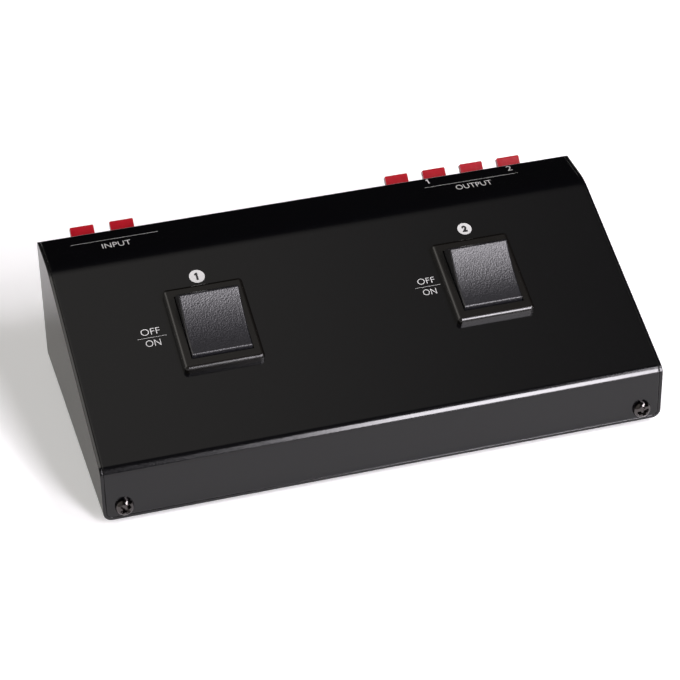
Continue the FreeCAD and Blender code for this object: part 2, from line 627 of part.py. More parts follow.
def terminal_block(centre, columns):
    """Moulded block: flange with ears outside the panel, body with a pocket for each terminal."""
    half_body = block_body_width(columns) / 2
    half_flange = half_body + BLOCK_EAR
    flange = box(-half_flange, half_flange, 0, BLOCK_FLANGE, -BLOCK_FLANGE_HEIGHT / 2,
                 BLOCK_FLANGE_HEIGHT / 2)
    corners = edges_near(flange, lambda c: abs(c.y - BLOCK_FLANGE / 2) < TOUCH)
    flange = flange.makeFillet(BLOCK_ROUND, corners)
    body = box(-half_body, half_body, -BLOCK_BODY_DEPTH, BLOCK_FLANGE / 2, -BLOCK_BODY_HEIGHT / 2,
               BLOCK_BODY_HEIGHT / 2)
    block = fused([flange, body])
    swing = math.tan(math.radians(LEVER_TRAVEL))
    sill = LEVER_LEVEL - (LEVER_PIVOT_DEPTH + BLOCK_FLANGE) * swing - LEVER_GAP
    roof = LEVER_LEVEL + LEVER_THICKNESS + LEVER_GAP
    web = CONTACT_LEVEL - LEVER_GAP
    half_slot = SLOT_WIDTH / 2
    for x in column_offsets(columns):
        for row in (1, -1):
            pocket = box(x - half_slot, x + half_slot, -BLOCK_BODY_DEPTH - SHEET, 0, web, roof)
            notch = box(x - half_slot, x + half_slot, -SHEET / 2, BLOCK_FLANGE + SHEET, sill,
                        BLOCK_FLANGE_HEIGHT / 2 + SHEET)
            under_roof = box(x - half_slot, x + half_slot, -SHEET, 0, sill, roof)
            hole = cylinder(WIRE_HOLE_RADIUS, BLOCK_FLANGE + SHEET, vec(x, -SHEET / 2, WIRE_HOLE_LEVEL),
                            vec(0, 1, 0))
            flare = Part.makeCone(WIRE_HOLE_RADIUS, WIRE_HOLE_RADIUS + WIRE_HOLE_FLARE, WIRE_HOLE_FLARE,
                                  vec(x, BLOCK_FLANGE - WIRE_HOLE_FLARE, WIRE_HOLE_LEVEL), vec(0, 1, 0))
            pins = cylinder(LEVER_PIN_RADIUS + RUNNING_GAP, SLOT_WIDTH + 2 * LEVER_PIN_REACH,
                            vec(x - half_slot - LEVER_PIN_REACH, -LEVER_PIVOT_DEPTH, LEVER_PIVOT_LEVEL),
                            vec(1, 0, 0))
            notch = notch.cut(box(x - SLOT_WIDTH, x + SLOT_WIDTH, -SHEET, 0, roof, BLOCK_FLANGE_HEIGHT))
            for tool in (pocket, notch, under_roof, hole, flare, pins):
                block = block.cut(mirrored(tool, row))
    for x in ear_screw_offsets(columns):
        block = block.cut(cylinder(SCREW_RADIUS + THREAD_GAP, BLOCK_FLANGE + 2 * SHEET, vec(x, -SHEET, 0),
                                   vec(0, 1, 0)))
    return on_rear(block, centre)


def back_plate(centre, columns):
    """Insulating plate that closes the pockets, with a slot for each solder tag."""
    half = block_body_width(columns) / 2
    plate = box(-half, half, -BLOCK_BODY_DEPTH - BACK_PLATE, -BLOCK_BODY_DEPTH, -BLOCK_BODY_HEIGHT / 2,
                BLOCK_BODY_HEIGHT / 2)
    for x in column_offsets(columns):
        for row in (1, -1):
            slot = box(x - CONTACT_WIDTH / 2 - THREAD_GAP, x + CONTACT_WIDTH / 2 + THREAD_GAP,
                       -BLOCK_BODY_DEPTH - 2 * BACK_PLATE, -BLOCK_BODY_DEPTH + BACK_PLATE,
                       CONTACT_LEVEL - THREAD_GAP, CONTACT_LEVEL + CONTACT_SHEET + THREAD_GAP)
            plate = plate.cut(mirrored(slot, row))
    return on_rear(plate, centre)


def lever(centre, x, row):
    """Piano-key lever: beam in the pocket on two side pins, upturned finger lip outside."""
    low, high = LEVER_LEVEL, LEVER_LEVEL + LEVER_THICKNESS
    heel = -LEVER_PIVOT_DEPTH - LEVER_PIN_RADIUS
    lean = math.radians(LEVER_LIP_LEAN)
    lip_back, lip_drop = LEVER_LIP_THICKNESS * math.sin(lean), LEVER_LIP_THICKNESS * math.cos(lean)
    outline = [(heel, low), (LEVER_REACH - (high + LEVER_RISE - lip_drop - low) / math.tan(lean), low),
               (LEVER_REACH, high + LEVER_RISE - lip_drop), (LEVER_REACH - lip_back, high + LEVER_RISE),
               (LEVER_REACH - lip_back - LEVER_RISE / math.tan(lean), high), (heel, high)]
    key = extruded(outline, x - LEVER_WIDTH / 2, x + LEVER_WIDTH / 2)
    tip, crest = LEVER_REACH - lip_back - LEVER_ROUND / 2, high + LEVER_RISE - lip_drop * 0.75
    key = key.makeFillet(LEVER_ROUND, edges_near(key, lambda c: c.y > tip and c.z > crest))
    pins = cylinder(LEVER_PIN_RADIUS, LEVER_WIDTH + 2 * (LEVER_GAP + LEVER_PIN_REACH - RUNNING_GAP),
                    vec(x - LEVER_WIDTH / 2 - LEVER_GAP - LEVER_PIN_REACH + RUNNING_GAP,
                        -LEVER_PIVOT_DEPTH, LEVER_PIVOT_LEVEL), vec(1, 0, 0))
    return on_rear(mirrored(fused([key, pins]), row), centre)


def contacts(centre, columns):
    """Bent contact strips: solder tag, floor, upright with the wire window, sprung tongue."""
    solids = []
    tag_end = -BLOCK_BODY_DEPTH - BACK_PLATE - TAG_REACH
    front = -CONTACT_SHEET - LEVER_GAP
    top = CONTACT_LEVEL + CONTACT_HEIGHT
    chain = [(tag_end, CONTACT_LEVEL), (front, CONTACT_LEVEL), (front, top),
             (front - CONTACT_TONGUE, top - CONTACT_SHEET)]
    for x in column_offsets(columns):
        strip = bent_strip(chain, (CONTACT_BEND, CONTACT_BEND), -CONTACT_SHEET, x - CONTACT_WIDTH / 2,
                           x + CONTACT_WIDTH / 2)
        window = cylinder(WIRE_HOLE_RADIUS + THREAD_GAP, 4 * CONTACT_SHEET,
                          vec(x, front - 2 * CONTACT_SHEET, WIRE_HOLE_LEVEL), vec(0, 1, 0))
        eye = cylinder(TAG_HOLE_RADIUS, 4 * CONTACT_SHEET,
                       vec(x, tag_end + TAG_REACH / 2, CONTACT_LEVEL - CONTACT_SHEET), vec(0, 0, 1))
        strip = strip.cut(window).cut(eye)
        for row in (1, -1):
            solids.append(on_rear(mirrored(strip, row), centre))
    return solids


# ---- inner wiring: a wire is a list of corners from one bare end to the other ----

def wire(points):
    """Insulated wire with straight runs, tangent bends and a bare end lying on each terminal."""
    bare = WIRE_OVERLAP + WIRE_STRIP
    ends = []
    for tip, ahead in ((points[0], points[1]), (points[-1], points[-2])):
        along = (ahead - tip).normalize()
        ends.append(tip + along * bare)
    route = [ends[0], *points[1:-1], ends[1]]
    edges = rounded_path(route, [WIRE_BEND] * len(points[1:-1]))
    profile = Part.Face(Part.Wire(Part.Circle(route[0], route[1] - route[0], WIRE_RADIUS).toShape()))
    sleeve = Part.Wire(edges).makePipe(profile)
    pieces = [sleeve]
    for tip, end in ((points[0], ends[0]), (points[-1], ends[1])):
        pieces.append(cylinder(WIRE_CORE_RADIUS, bare + WIRE_STRIP, tip, end - tip))
    return pieces[0].multiFuse(pieces[1:])


def tab_lead(x, y, face, length):
    """Bare end on a switch tab, and the point at a given length along the tab's line."""
    off = SWITCH_UP_SLOPE + y + face * (TAB_TERMINAL_SHEET / 2 + WIRE_CORE_RADIUS + SOLDER_GAP)
    lean = math.radians(SLOPE_ANGLE)
    ends = []
    for low in (WIRE_OVERLAP, WIRE_OVERLAP - length):
        depth = HOUSING_DEPTH + TAB_TERMINAL_REACH - low
        ends.append(vec(x, off * math.cos(lean) + depth * math.sin(lean),
                        FRONT_HEIGHT + off * math.sin(lean) - depth * math.cos(lean)))
    return ends


def middle_lead(x, face, level):
    """Bare end on a middle terminal, and the point where the tab's line comes down to a level."""
    start = tab_lead(x, 0, face, LEAD_LENGTH)[0]
    return tab_lead(x, 0, face, (start.z - level) / math.cos(math.radians(SLOPE_ANGLE)))


def tag_lead(x, row, lane):
    """Bare end on a block's solder tag, and the point where the wire turns at a depth."""
    level = BLOCK_CENTRE_HEIGHT + row * (CONTACT_LEVEL + CONTACT_SHEET + WIRE_CORE_RADIUS + SOLDER_GAP)
    return vec(x, TAG_END + WIRE_OVERLAP, level), vec(x, lane, level)


def input_wire(tag_x, pole_x, step):
    """Red wire from an input tag down behind the switch to the pole's middle terminal."""
    tab, foot = middle_lead(pole_x, 1, HIGH_LEVEL)
    tag, turn = tag_lead(tag_x, 1, foot.y + step)
    return wire([tag, turn, vec(tag_x, turn.y, HIGH_LEVEL), foot, tab])


def link_wire(pole, step):
    """Red wire between the same pole of both switches, along the front of the case."""
    left, left_foot = middle_lead(SWITCH_X[0] - pole, -1, HIGH_LEVEL)
    right, right_foot = middle_lead(SWITCH_X[1] + pole, -1, HIGH_LEVEL)
    lane = left_foot.y - step
    corners = [left_foot, vec(left.x, lane, HIGH_LEVEL), vec(right.x, lane, HIGH_LEVEL), right_foot]
    return wire([left, *corners, right])


def throw_wire(pole_x, tag_x, level, lane=None):
    """Red wire from a switched terminal across the floor and up to an output tag."""
    tab, bend = tab_lead(pole_x, throw_terminal_offset(), -1, LEAD_LENGTH)
    rise = lane or bend.y
    tag, turn = tag_lead(tag_x, 1, rise)
    return wire([tab, bend, vec(pole_x, bend.y, level), vec(tag_x, rise, level), turn, tag])


def return_wire(from_x, to_x, lane, drop=None):
    """Black wire between two tags of the lower row."""
    first, turn = tag_lead(from_x, -1, lane)
    last, back = tag_lead(to_x, -1, lane)
    dips = [] if drop is None else [vec(x, lane, turn.z - drop) for x in (from_x, to_x)]
    return wire([first, turn, *dips, back, last])


def wires():
    """Left channel on the inner poles and the outer output columns, right channel between them."""
    left, right = SWITCH_X
    (in_right, in_left), (out_1, out_2, out_3, out_4) = [
        [centre + x for x in column_offsets(columns)] for _, centre, columns in block_places()]
    long_lane, short_lane = TAG_END - LONG_LANE, TAG_END - SHORT_LANE
    red = [input_wire(in_right, left - POLE_OFFSET, 0),
           input_wire(in_left, left + POLE_OFFSET, INPUT_STEP),
           link_wire(POLE_OFFSET, LINK_OUTER_STEP), link_wire(-POLE_OFFSET, LINK_INNER_STEP),
           throw_wire(left - POLE_OFFSET, out_2, LOW_LEVEL, TAG_END - RISER_LANE),
           throw_wire(left + POLE_OFFSET, out_1 - WIRE_PAIR, HIGH_LEVEL),
           throw_wire(right - POLE_OFFSET, out_4, LOW_LEVEL),
           throw_wire(right + POLE_OFFSET, out_3, HIGH_LEVEL)]
    black = [return_wire(in_right, out_2 - WIRE_PAIR, long_lane, LONG_DROP),
             return_wire(in_left, out_1 - WIRE_PAIR, long_lane),
             return_wire(out_1 + WIRE_PAIR, out_4, short_lane, SHORT_OUTER_DROP),
             return_wire(out_2 + WIRE_PAIR, out_3, short_lane, SHORT_INNER_DROP)]
    return red, black


# ---- assembly ----

def sub_parts():
    """Every node and its solids, in the case frame."""
    nodes = {
        "base_tray": [base_tray()],
        "top_cover": [top_cover()],
        "front_screws": cover_screws(-1),
        "rear_screws": cover_screws(1),
        "rubber_feet": rubber_feet(),
        "block_screws": block_screws(),
        "block_nuts": block_nuts(),
    }
    for number, x in enumerate(SWITCH_X, 1):
        nodes[f"switch_housing_{number}"] = [switch_housing(x)]
        nodes[f"rocker_{number}"] = [rocker(x)]
        nodes[f"plungers_{number}"] = plungers(x)
        nodes[f"plunger_springs_{number}"] = plunger_springs(x)
        nodes[f"contact_blades_{number}"] = contact_blades(x)
        nodes[f"common_terminals_{number}"] = common_terminals(x)
        nodes[f"throw_terminals_{number}"] = throw_terminals(x)
    for name, centre, columns in block_places():
        nodes[f"{name}_block"] = [terminal_block(centre, columns)]
        nodes[f"{name}_back_plate"] = [back_plate(centre, columns)]
        nodes[f"{name}_contacts"] = contacts(centre, columns)
        for number, x in enumerate(column_offsets(columns), 1):
            nodes[f"{name}_red_lever_{number}"] = [lever(centre, x, 1)]
            nodes[f"{name}_black_lever_{number}"] = [lever(centre, x, -1)]
    for colour, pieces in zip(("red", "black"), wires()):
        for number, piece in enumerate(pieces, 1):
            nodes[f"{colour}_wire_{number}"] = [piece]
    return nodes


def write_parts():
    """Move every node so the origin is under the middle of the whole, and write its STEP file."""
    os.makedirs("parts", exist_ok=True)
    for node, solids in sub_parts().items():
        placed = [moved(solid, 0, -ORIGIN_Y, FOOT_HEIGHT) for solid in solids]
        shape = placed[0] if len(placed) == 1 else Part.makeCompound(placed)
        shape.exportStep(f"parts/{node}.step")


write_parts()
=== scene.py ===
import bpy
import math
import numpy as np
from mathutils import Matrix, Vector


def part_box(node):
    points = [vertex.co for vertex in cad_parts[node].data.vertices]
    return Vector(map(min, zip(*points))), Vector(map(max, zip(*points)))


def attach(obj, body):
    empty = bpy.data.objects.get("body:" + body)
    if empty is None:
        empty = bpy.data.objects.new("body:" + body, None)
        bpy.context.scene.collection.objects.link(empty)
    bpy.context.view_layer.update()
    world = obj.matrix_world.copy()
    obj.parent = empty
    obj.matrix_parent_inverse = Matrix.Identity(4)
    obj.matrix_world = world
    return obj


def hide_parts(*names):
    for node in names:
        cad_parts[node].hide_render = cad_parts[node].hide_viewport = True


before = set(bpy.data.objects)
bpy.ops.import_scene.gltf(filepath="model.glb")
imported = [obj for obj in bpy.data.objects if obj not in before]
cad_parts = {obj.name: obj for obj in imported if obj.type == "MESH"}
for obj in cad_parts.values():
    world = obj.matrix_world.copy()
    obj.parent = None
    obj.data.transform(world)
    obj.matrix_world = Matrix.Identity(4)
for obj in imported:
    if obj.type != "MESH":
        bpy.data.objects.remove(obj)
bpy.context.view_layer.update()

# Two-pair speaker selector switch.  Metres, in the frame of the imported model: +Z up, front to -Y.
MM = 0.001

# ---- sizes of the case, the switches, the screws and the feet, as the part's source has them ----
CASE_DEPTH = 90.0 * MM
CASE_HEIGHT = 46.0 * MM
FRONT_HEIGHT = 18.25 * MM
FLAT_DEPTH = 17.0 * MM
SWITCH_DOWN_SLOPE = 33.0 * MM           # rocker axis from the slope's upper corner
BEZEL_LENGTH = 31.2 * MM
POLE_OFFSET = 4.8 * MM
ROCKER_THROW = math.radians(16)
SPRING_RADIUS = 1.45 * MM
SPRING_WIRE = 0.5 * MM
SPRING_START = -1.5 * MM                # along the rocker's normal, from its axis
SPRING_LENGTH = 4.4 * MM
SPRING_TURNS = 5.5
FOOT_RADIUS = 5.5 * MM
SCREW_RADIUS = 1.5 * MM
SCREW_PITCH = 0.5 * MM
HEAD_RADIUS = 2.9 * MM
HEAD_HEIGHT = 2.1 * MM
CROSS_WIDTH = 1.1 * MM                  # the cross is cut a little larger than the plain solid's
CROSS_SPAN = 3.9 * MM
CROSS_DEPTH = 1.25 * MM
THREAD_DEPTH = 0.16                     # share of the screw's radius
BLOCK_EAR = 6.6 * MM
FOOT_DRAFT = 0.35 * MM                  # how far the foot's side leans in
FOOT_EDGE = 0.5 * MM
FOOT_CUP = 0.35 * MM                    # depth of the hollow under the foot

PAINT_ROUND = 0.5 * MM                  # paint drawn round the sheet's cut edges
SHARP = math.radians(38)                # two faces that meet at more than this show an edge

# ---- printing: screen ink a few hundredths of a millimetre thick ----
INK_TOP = 0.02 * MM
INK_FOOT = -0.005 * MM                  # just under the paint's surface, so that no gap shows
OVERPRINT = 0.01 * MM                   # the numeral above its white disc
RULE = 0.085 * MM
SMALL_CAPITAL = 2.75 * MM
SWITCH_CAPITAL = 2.35 * MM
THIN, BOLD = -0.012, 0.065              # letter outlines moved out, as a share of their size
DISC = 4.9 * MM
DISC_LEFT = 0.4 * MM                    # of the switch's middle
DISC_ABOVE = 4.6 * MM                   # the bezel's upper edge
WORDS_LEFT = 19.6 * MM                  # of the switch's middle
OFF_ABOVE = 2.4 * MM                    # the rocker's axis
ON_BELOW = 2.0 * MM
SWITCH_RULE_ABOVE = 0.15 * MM

# ---- places read from the frame ----
tray_low, tray_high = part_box("base_tray")
FRONT_Y = tray_low.y                    # front face of the case
BACK_Y = tray_high.y
BASE_Z = tray_low.z                     # underside of the base sheet
SLOPE_RUN = CASE_DEPTH - FLAT_DEPTH
SLOPE_RISE = CASE_HEIGHT - FRONT_HEIGHT
SLOPE_LENGTH = math.hypot(SLOPE_RUN, SLOPE_RISE)
SLOPE_ANGLE = math.atan2(SLOPE_RISE, SLOPE_RUN)
SWITCH_UP = SLOPE_LENGTH - SWITCH_DOWN_SLOPE


def middle_x(node):
    """Half way between a node's left and right ends."""
    low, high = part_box(node)
    return (low.x + high.x) / 2


# a printed face: its corner at the case's middle, the way up its surface, and its outward normal
LEVEL = (Vector((0, FRONT_Y, BASE_Z + CASE_HEIGHT)), Vector((0, 1, 0)), Vector((0, 0, 1)))
SLOPE = (Vector((0, FRONT_Y, BASE_Z + FRONT_HEIGHT)),
         Vector((0, math.cos(SLOPE_ANGLE), math.sin(SLOPE_ANGLE))),
         Vector((0, -math.sin(SLOPE_ANGLE), math.cos(SLOPE_ANGLE))))


# ---- surfaces worked out with numpy ----

def skin(name, rings):
    """Mesh from a grid of points, rings by columns by xyz.  Each ring joins itself round and the next
    ring, and a fan of triangles to its middle closes the first ring and the last."""
    count, columns = rings.shape[:2]
    r, c = np.meshgrid(np.arange(count - 1), np.arange(columns), indexing="ij")
    r2, c2 = r + 1, (c + 1) % columns
    quads = np.stack([r * columns + c, r * columns + c2, r2 * columns + c2, r2 * columns + c], -1)
    points, faces = rings.reshape(-1, 3), quads.reshape(-1, 4).tolist()
    tips = np.stack([rings[0].mean(0), rings[-1].mean(0)])
    here, there = np.arange(columns), (np.arange(columns) + 1) % columns
    first = np.stack([there, here, np.full(columns, len(points))], -1)
    last = np.stack([here, there, np.full(columns, len(points) + 1)], -1)
    last[:, :2] += (count - 1) * columns
    points = np.concatenate([points, tips])
    faces += first.tolist() + last.tolist()
    mesh = bpy.data.meshes.new(name)
    mesh.from_pydata(points.tolist(), [], faces)
    mesh.update()
    return mesh


def joined(name, meshes):
    """One mesh from several: their points and faces one after another."""
    points, faces, start = [], [], 0
    for mesh in meshes:
        co = np.empty(len(mesh.vertices) * 3)
        mesh.vertices.foreach_get("co", co)
        points.append(co.reshape(-1, 3))
        faces += [[start + v for v in face.vertices] for face in mesh.polygons]
        start += len(mesh.vertices)
        bpy.data.meshes.remove(mesh)
    whole = bpy.data.meshes.new(name)
    whole.from_pydata(np.concatenate(points).tolist(), [], faces)
    whole.update()
    return whole


def on_face(face, across, up, height):
    """Points on a printed face: corner plus across along +X, plus up along it, plus height outward."""
    corner, way_up, normal = (np.array(part) for part in face)
    across, up, height = np.broadcast_arrays(across, up, height)
    sideways = np.array([1.0, 0.0, 0.0])
    return corner + across[..., None] * sideways + up[..., None] * way_up + height[..., None] * normal


def piece(name, mesh, finish, body, smooth=True):
    """An object for a finished mesh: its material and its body."""
    mesh.polygons.foreach_set("use_smooth", np.full(len(mesh.polygons), smooth))
    if smooth:
        mesh.set_sharp_from_angle(angle=SHARP)
    mesh.materials.append(finish)
    made = bpy.data.objects.new(name, mesh)
    bpy.context.scene.collection.objects.link(made)
    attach(made, body)
    return made


# ---- materials: one function adds a node, and each finish is its own short function ----

NOISE_SPREAD = {"From Min": 0.3, "From Max": 0.7}       # where most of a noise texture's values lie
SHEEN_DRIFT = 0.05                      # how far moulded plastic strays from its roughness, each way
STEEP, AS_SLOPE = 0.86, 0.93            # upward part of a face's normal: steeper than the slope, like it


def colour(code):
    """sRGB hex to linear RGBA: values up to 0.04045 over 12.92, the rest ((v + 0.055) / 1.055) ^ 2.4."""
    v = np.array([int(code[k:k + 2], 16) for k in (1, 3, 5)]) / 255
    linear = np.where(v <= 0.04045, v / 12.92, ((v + 0.055) / 1.055) ** 2.4)
    return (*linear.tolist(), 1.0)


def add(tree, kind, settings=None, inputs=None):
    """Add a node of a kind, with its own settings and its sockets set or linked."""
    node = tree.nodes.new(kind)
    for key, value in (settings or {}).items():
        setattr(node, key, value)
    for key, value in (inputs or {}).items():
        if isinstance(value, bpy.types.NodeSocket):
            tree.links.new(value, node.inputs[key])
        else:
            node.inputs[key].default_value = value
    return node


def fresh(name):
    """A material with an empty node tree, and its Object coordinates."""
    made = bpy.data.materials.new(name)
    made.use_nodes = True
    made.node_tree.nodes.clear()
    return made, made.node_tree, add(made.node_tree, "ShaderNodeTexCoord").outputs["Object"]


def satin_black_paint(name, rollover):
    """Polyester powder paint sprayed and baked on steel: a near-black satin skin.  Its orange peel,
    waves about 1.1 mm apart and a few micrometres deep, softens what it mirrors, so it looks grey
    only where it reflects something pale.  The paint draws round each cut edge of the sheet, which
    then carries a thin line of light.  Along the top of the tray's sides, on faces that look up at
    least as much as the slope does, the shears rolled the sheet over outward, so that narrow edge
    mirrors what stands beside it; rollover is the tangent of its lean."""
    made, tree, place = fresh(name)
    peel = add(tree, "ShaderNodeTexNoise", inputs={"Vector": place, "Scale": 1 / (1.1 * MM), "Detail": 1.0})
    speck = add(tree, "ShaderNodeTexNoise", inputs={"Vector": place, "Scale": 1 / (0.5 * MM)})
    pigment = add(tree, "ShaderNodeMix", {"data_type": "RGBA"},
                  {0: speck.outputs["Fac"], 6: colour("#020203"), 7: colour("#070709")})
    sheen = add(tree, "ShaderNodeMapRange",
                inputs={"Value": speck.outputs["Fac"], **NOISE_SPREAD, "To Min": 0.13, "To Max": 0.17})
    edge = add(tree, "ShaderNodeBevel", {"samples": 6}, {"Radius": PAINT_ROUND})
    surface = add(tree, "ShaderNodeNewGeometry")
    facing = add(tree, "ShaderNodeSeparateXYZ", inputs={0: surface.outputs["Normal"]})
    upper = add(tree, "ShaderNodeMapRange", inputs={
        "Value": facing.outputs["Z"], "From Min": STEEP, "From Max": AS_SLOPE,
        "To Min": 0.0, "To Max": rollover})
    spot = add(tree, "ShaderNodeSeparateXYZ", inputs={0: place})
    side = add(tree, "ShaderNodeMath", {"operation": "SIGN"}, {0: spot.outputs["X"]})
    lean = add(tree, "ShaderNodeMath", {"operation": "MULTIPLY"},
               {0: upper.outputs["Result"], 1: side.outputs[0]})
    outward = add(tree, "ShaderNodeCombineXYZ", inputs={"X": lean.outputs[0]})
    tilted = add(tree, "ShaderNodeVectorMath", {"operation": "ADD"},
                 {0: edge.outputs["Normal"], 1: outward.outputs[0]})
    rolled = add(tree, "ShaderNodeVectorMath", {"operation": "NORMALIZE"}, {0: tilted.outputs[0]})
    waves = add(tree, "ShaderNodeBump", inputs={"Height": peel.outputs["Fac"], "Strength": 0.5,
                                                "Distance": 0.006 * MM, "Normal": rolled.outputs[0]})
    coat = add(tree, "ShaderNodeBsdfPrincipled", inputs={
        "Base Color": pigment.outputs[2], "IOR": 1.48, "Roughness": sheen.outputs["Result"],
        "Normal": waves.outputs["Normal"]})
    add(tree, "ShaderNodeOutputMaterial", inputs={"Surface": coat.outputs["BSDF"]})
    return made


def spark_textured_nylon():
    """Glass-filled nylon 66 moulded in a spark-eroded tool: an even, very fine texture under a satin
    gloss, drawn 0.3 mm across so that it shows, with the warm near-black of carbon in nylon."""
    made, tree, place = fresh("moulded_black_nylon")
    spark = add(tree, "ShaderNodeTexNoise",
                inputs={"Vector": place, "Scale": 1 / (0.3 * MM), "Detail": 3.0})
    carbon = add(tree, "ShaderNodeMix", {"data_type": "RGBA"},
                 {0: spark.outputs["Fac"], 6: colour("#060504"), 7: colour("#110f0d")})
    sheen = add(tree, "ShaderNodeMapRange",
                inputs={"Value": spark.outputs["Fac"], **NOISE_SPREAD, "To Min": 0.19, "To Max": 0.25})
    pits = add(tree, "ShaderNodeBump", inputs={"Height": spark.outputs["Fac"], "Strength": 0.3,
                                               "Distance": 0.004 * MM})
    nylon = add(tree, "ShaderNodeBsdfPrincipled", inputs={
        "Base Color": carbon.outputs[2], "IOR": 1.5, "Roughness": sheen.outputs["Result"],
        "Normal": pits.outputs["Normal"]})
    add(tree, "ShaderNodeOutputMaterial", inputs={"Surface": nylon.outputs["BSDF"]})
    return made


def grained_rocker_abs():
    """ABS moulded against an etched tool face: a leather-like pebble, whose peaks catch the lamp as
    separate points of light.  The pebble is drawn 0.5 mm across so that it shows."""
    made, tree, place = fresh("grained_black_abs")
    cells = add(tree, "ShaderNodeTexVoronoi", {"feature": "F1"}, {"Vector": place, "Scale": 1 / (0.5 * MM)})
    speck = add(tree, "ShaderNodeTexNoise",
                inputs={"Vector": place, "Scale": 1 / (0.45 * MM), "Detail": 3.0})
    resin = add(tree, "ShaderNodeMix", {"data_type": "RGBA"},
                {0: speck.outputs["Fac"], 6: colour("#0c0c0e"), 7: colour("#1f1f23")})
    sheen = add(tree, "ShaderNodeMapRange",
                inputs={"Value": speck.outputs["Fac"], **NOISE_SPREAD, "To Min": 0.30, "To Max": 0.40})
    pebble = add(tree, "ShaderNodeBump", {"invert": True},
                 {"Height": cells.outputs["Distance"], "Strength": 1.0, "Distance": 0.042 * MM})
    abs_face = add(tree, "ShaderNodeBsdfPrincipled", inputs={
        "Base Color": resin.outputs[2], "IOR": 1.54, "Roughness": sheen.outputs["Result"],
        "Normal": pebble.outputs["Normal"]})
    add(tree, "ShaderNodeOutputMaterial", inputs={"Surface": abs_face.outputs["BSDF"]})
    return made


def moulded_abs(name, dark, light, roughness):
    """Plain ABS or PBT moulded against a polished tool: a gloss of the given roughness, a trace of flow
    in the colour, 2 mm wide and 8 mm long across the part, and a faint sink wave 0.35 mm across."""
    made, tree, place = fresh(name)
    along = add(tree, "ShaderNodeMapping", inputs={"Vector": place, "Scale": (1.0, 0.25, 1.0)})
    flow = add(tree, "ShaderNodeTexNoise",
               inputs={"Vector": along.outputs["Vector"], "Scale": 1 / (2.0 * MM)})
    fine = add(tree, "ShaderNodeTexNoise", inputs={"Vector": place, "Scale": 1 / (0.35 * MM)})
    resin = add(tree, "ShaderNodeMix", {"data_type": "RGBA"},
                {0: flow.outputs["Fac"], 6: colour(dark), 7: colour(light)})
    sheen = add(tree, "ShaderNodeMapRange", inputs={
        "Value": fine.outputs["Fac"], **NOISE_SPREAD,
        "To Min": roughness - SHEEN_DRIFT, "To Max": roughness + SHEEN_DRIFT})
    sink = add(tree, "ShaderNodeBump", inputs={"Height": fine.outputs["Fac"], "Strength": 0.25,
                                               "Distance": 0.006 * MM})
    plastic = add(tree, "ShaderNodeBsdfPrincipled", inputs={
        "Base Color": resin.outputs[2], "IOR": 1.54, "Roughness": sheen.outputs["Result"],
        "Normal": sink.outputs["Normal"]})
    add(tree, "ShaderNodeOutputMaterial", inputs={"Surface": plastic.outputs["BSDF"]})
    return made


def black_nickel():
    """Black nickel plated on a cold-headed steel screw and tumbled: a dark smoky mirror with a fine
    haze, 0.15 mm, left by the tumbling."""
    made, tree, place = fresh("black_nickel_plate")
    haze = add(tree, "ShaderNodeTexNoise",
               inputs={"Vector": place, "Scale": 1 / (0.15 * MM), "Detail": 3.0})
    smoke = add(tree, "ShaderNodeMix", {"data_type": "RGBA"},
                {0: haze.outputs["Fac"], 6: colour("#3c393a"), 7: colour("#676361")})
    sheen = add(tree, "ShaderNodeMapRange",
                inputs={"Value": haze.outputs["Fac"], **NOISE_SPREAD, "To Min": 0.07, "To Max": 0.14})
    tumbled = add(tree, "ShaderNodeBump", inputs={"Height": haze.outputs["Fac"], "Strength": 0.3,
                                                  "Distance": 0.004 * MM})
    plate = add(tree, "ShaderNodeBsdfPrincipled", inputs={
        "Base Color": smoke.outputs[2], "Metallic": 1.0, "Roughness": sheen.outputs["Result"],
        "Normal": tumbled.outputs["Normal"]})
    add(tree, "ShaderNodeOutputMaterial", inputs={"Surface": plate.outputs["BSDF"]})
    return made


def drawn_metal(name, dark, light, low, high):
    """Plated or bare strip and wire, drawn or rolled: fine lines 0.12 mm apart that run along X, left
    by the tool, over a cloudy reflection."""
    made, tree, place = fresh(name)
    along = add(tree, "ShaderNodeMapping", inputs={"Vector": place, "Scale": (0.1, 1.0, 1.0)})
    lines = add(tree, "ShaderNodeTexNoise",
                inputs={"Vector": along.outputs["Vector"], "Scale": 1 / (0.12 * MM)})
    cloud = add(tree, "ShaderNodeTexNoise", inputs={"Vector": place, "Scale": 1 / (2.5 * MM)})
    metal = add(tree, "ShaderNodeMix", {"data_type": "RGBA"},
                {0: cloud.outputs["Fac"], 6: colour(dark), 7: colour(light)})
    sheen = add(tree, "ShaderNodeMapRange",
                inputs={"Value": cloud.outputs["Fac"], **NOISE_SPREAD, "To Min": low, "To Max": high})
    drawn = add(tree, "ShaderNodeBump", inputs={"Height": lines.outputs["Fac"], "Strength": 0.3,
                                                "Distance": 0.004 * MM})
    strip = add(tree, "ShaderNodeBsdfPrincipled", inputs={
        "Base Color": metal.outputs[2], "Metallic": 1.0, "Roughness": sheen.outputs["Result"],
        "Normal": drawn.outputs["Normal"]})
    add(tree, "ShaderNodeOutputMaterial", inputs={"Surface": strip.outputs["BSDF"]})
    return made


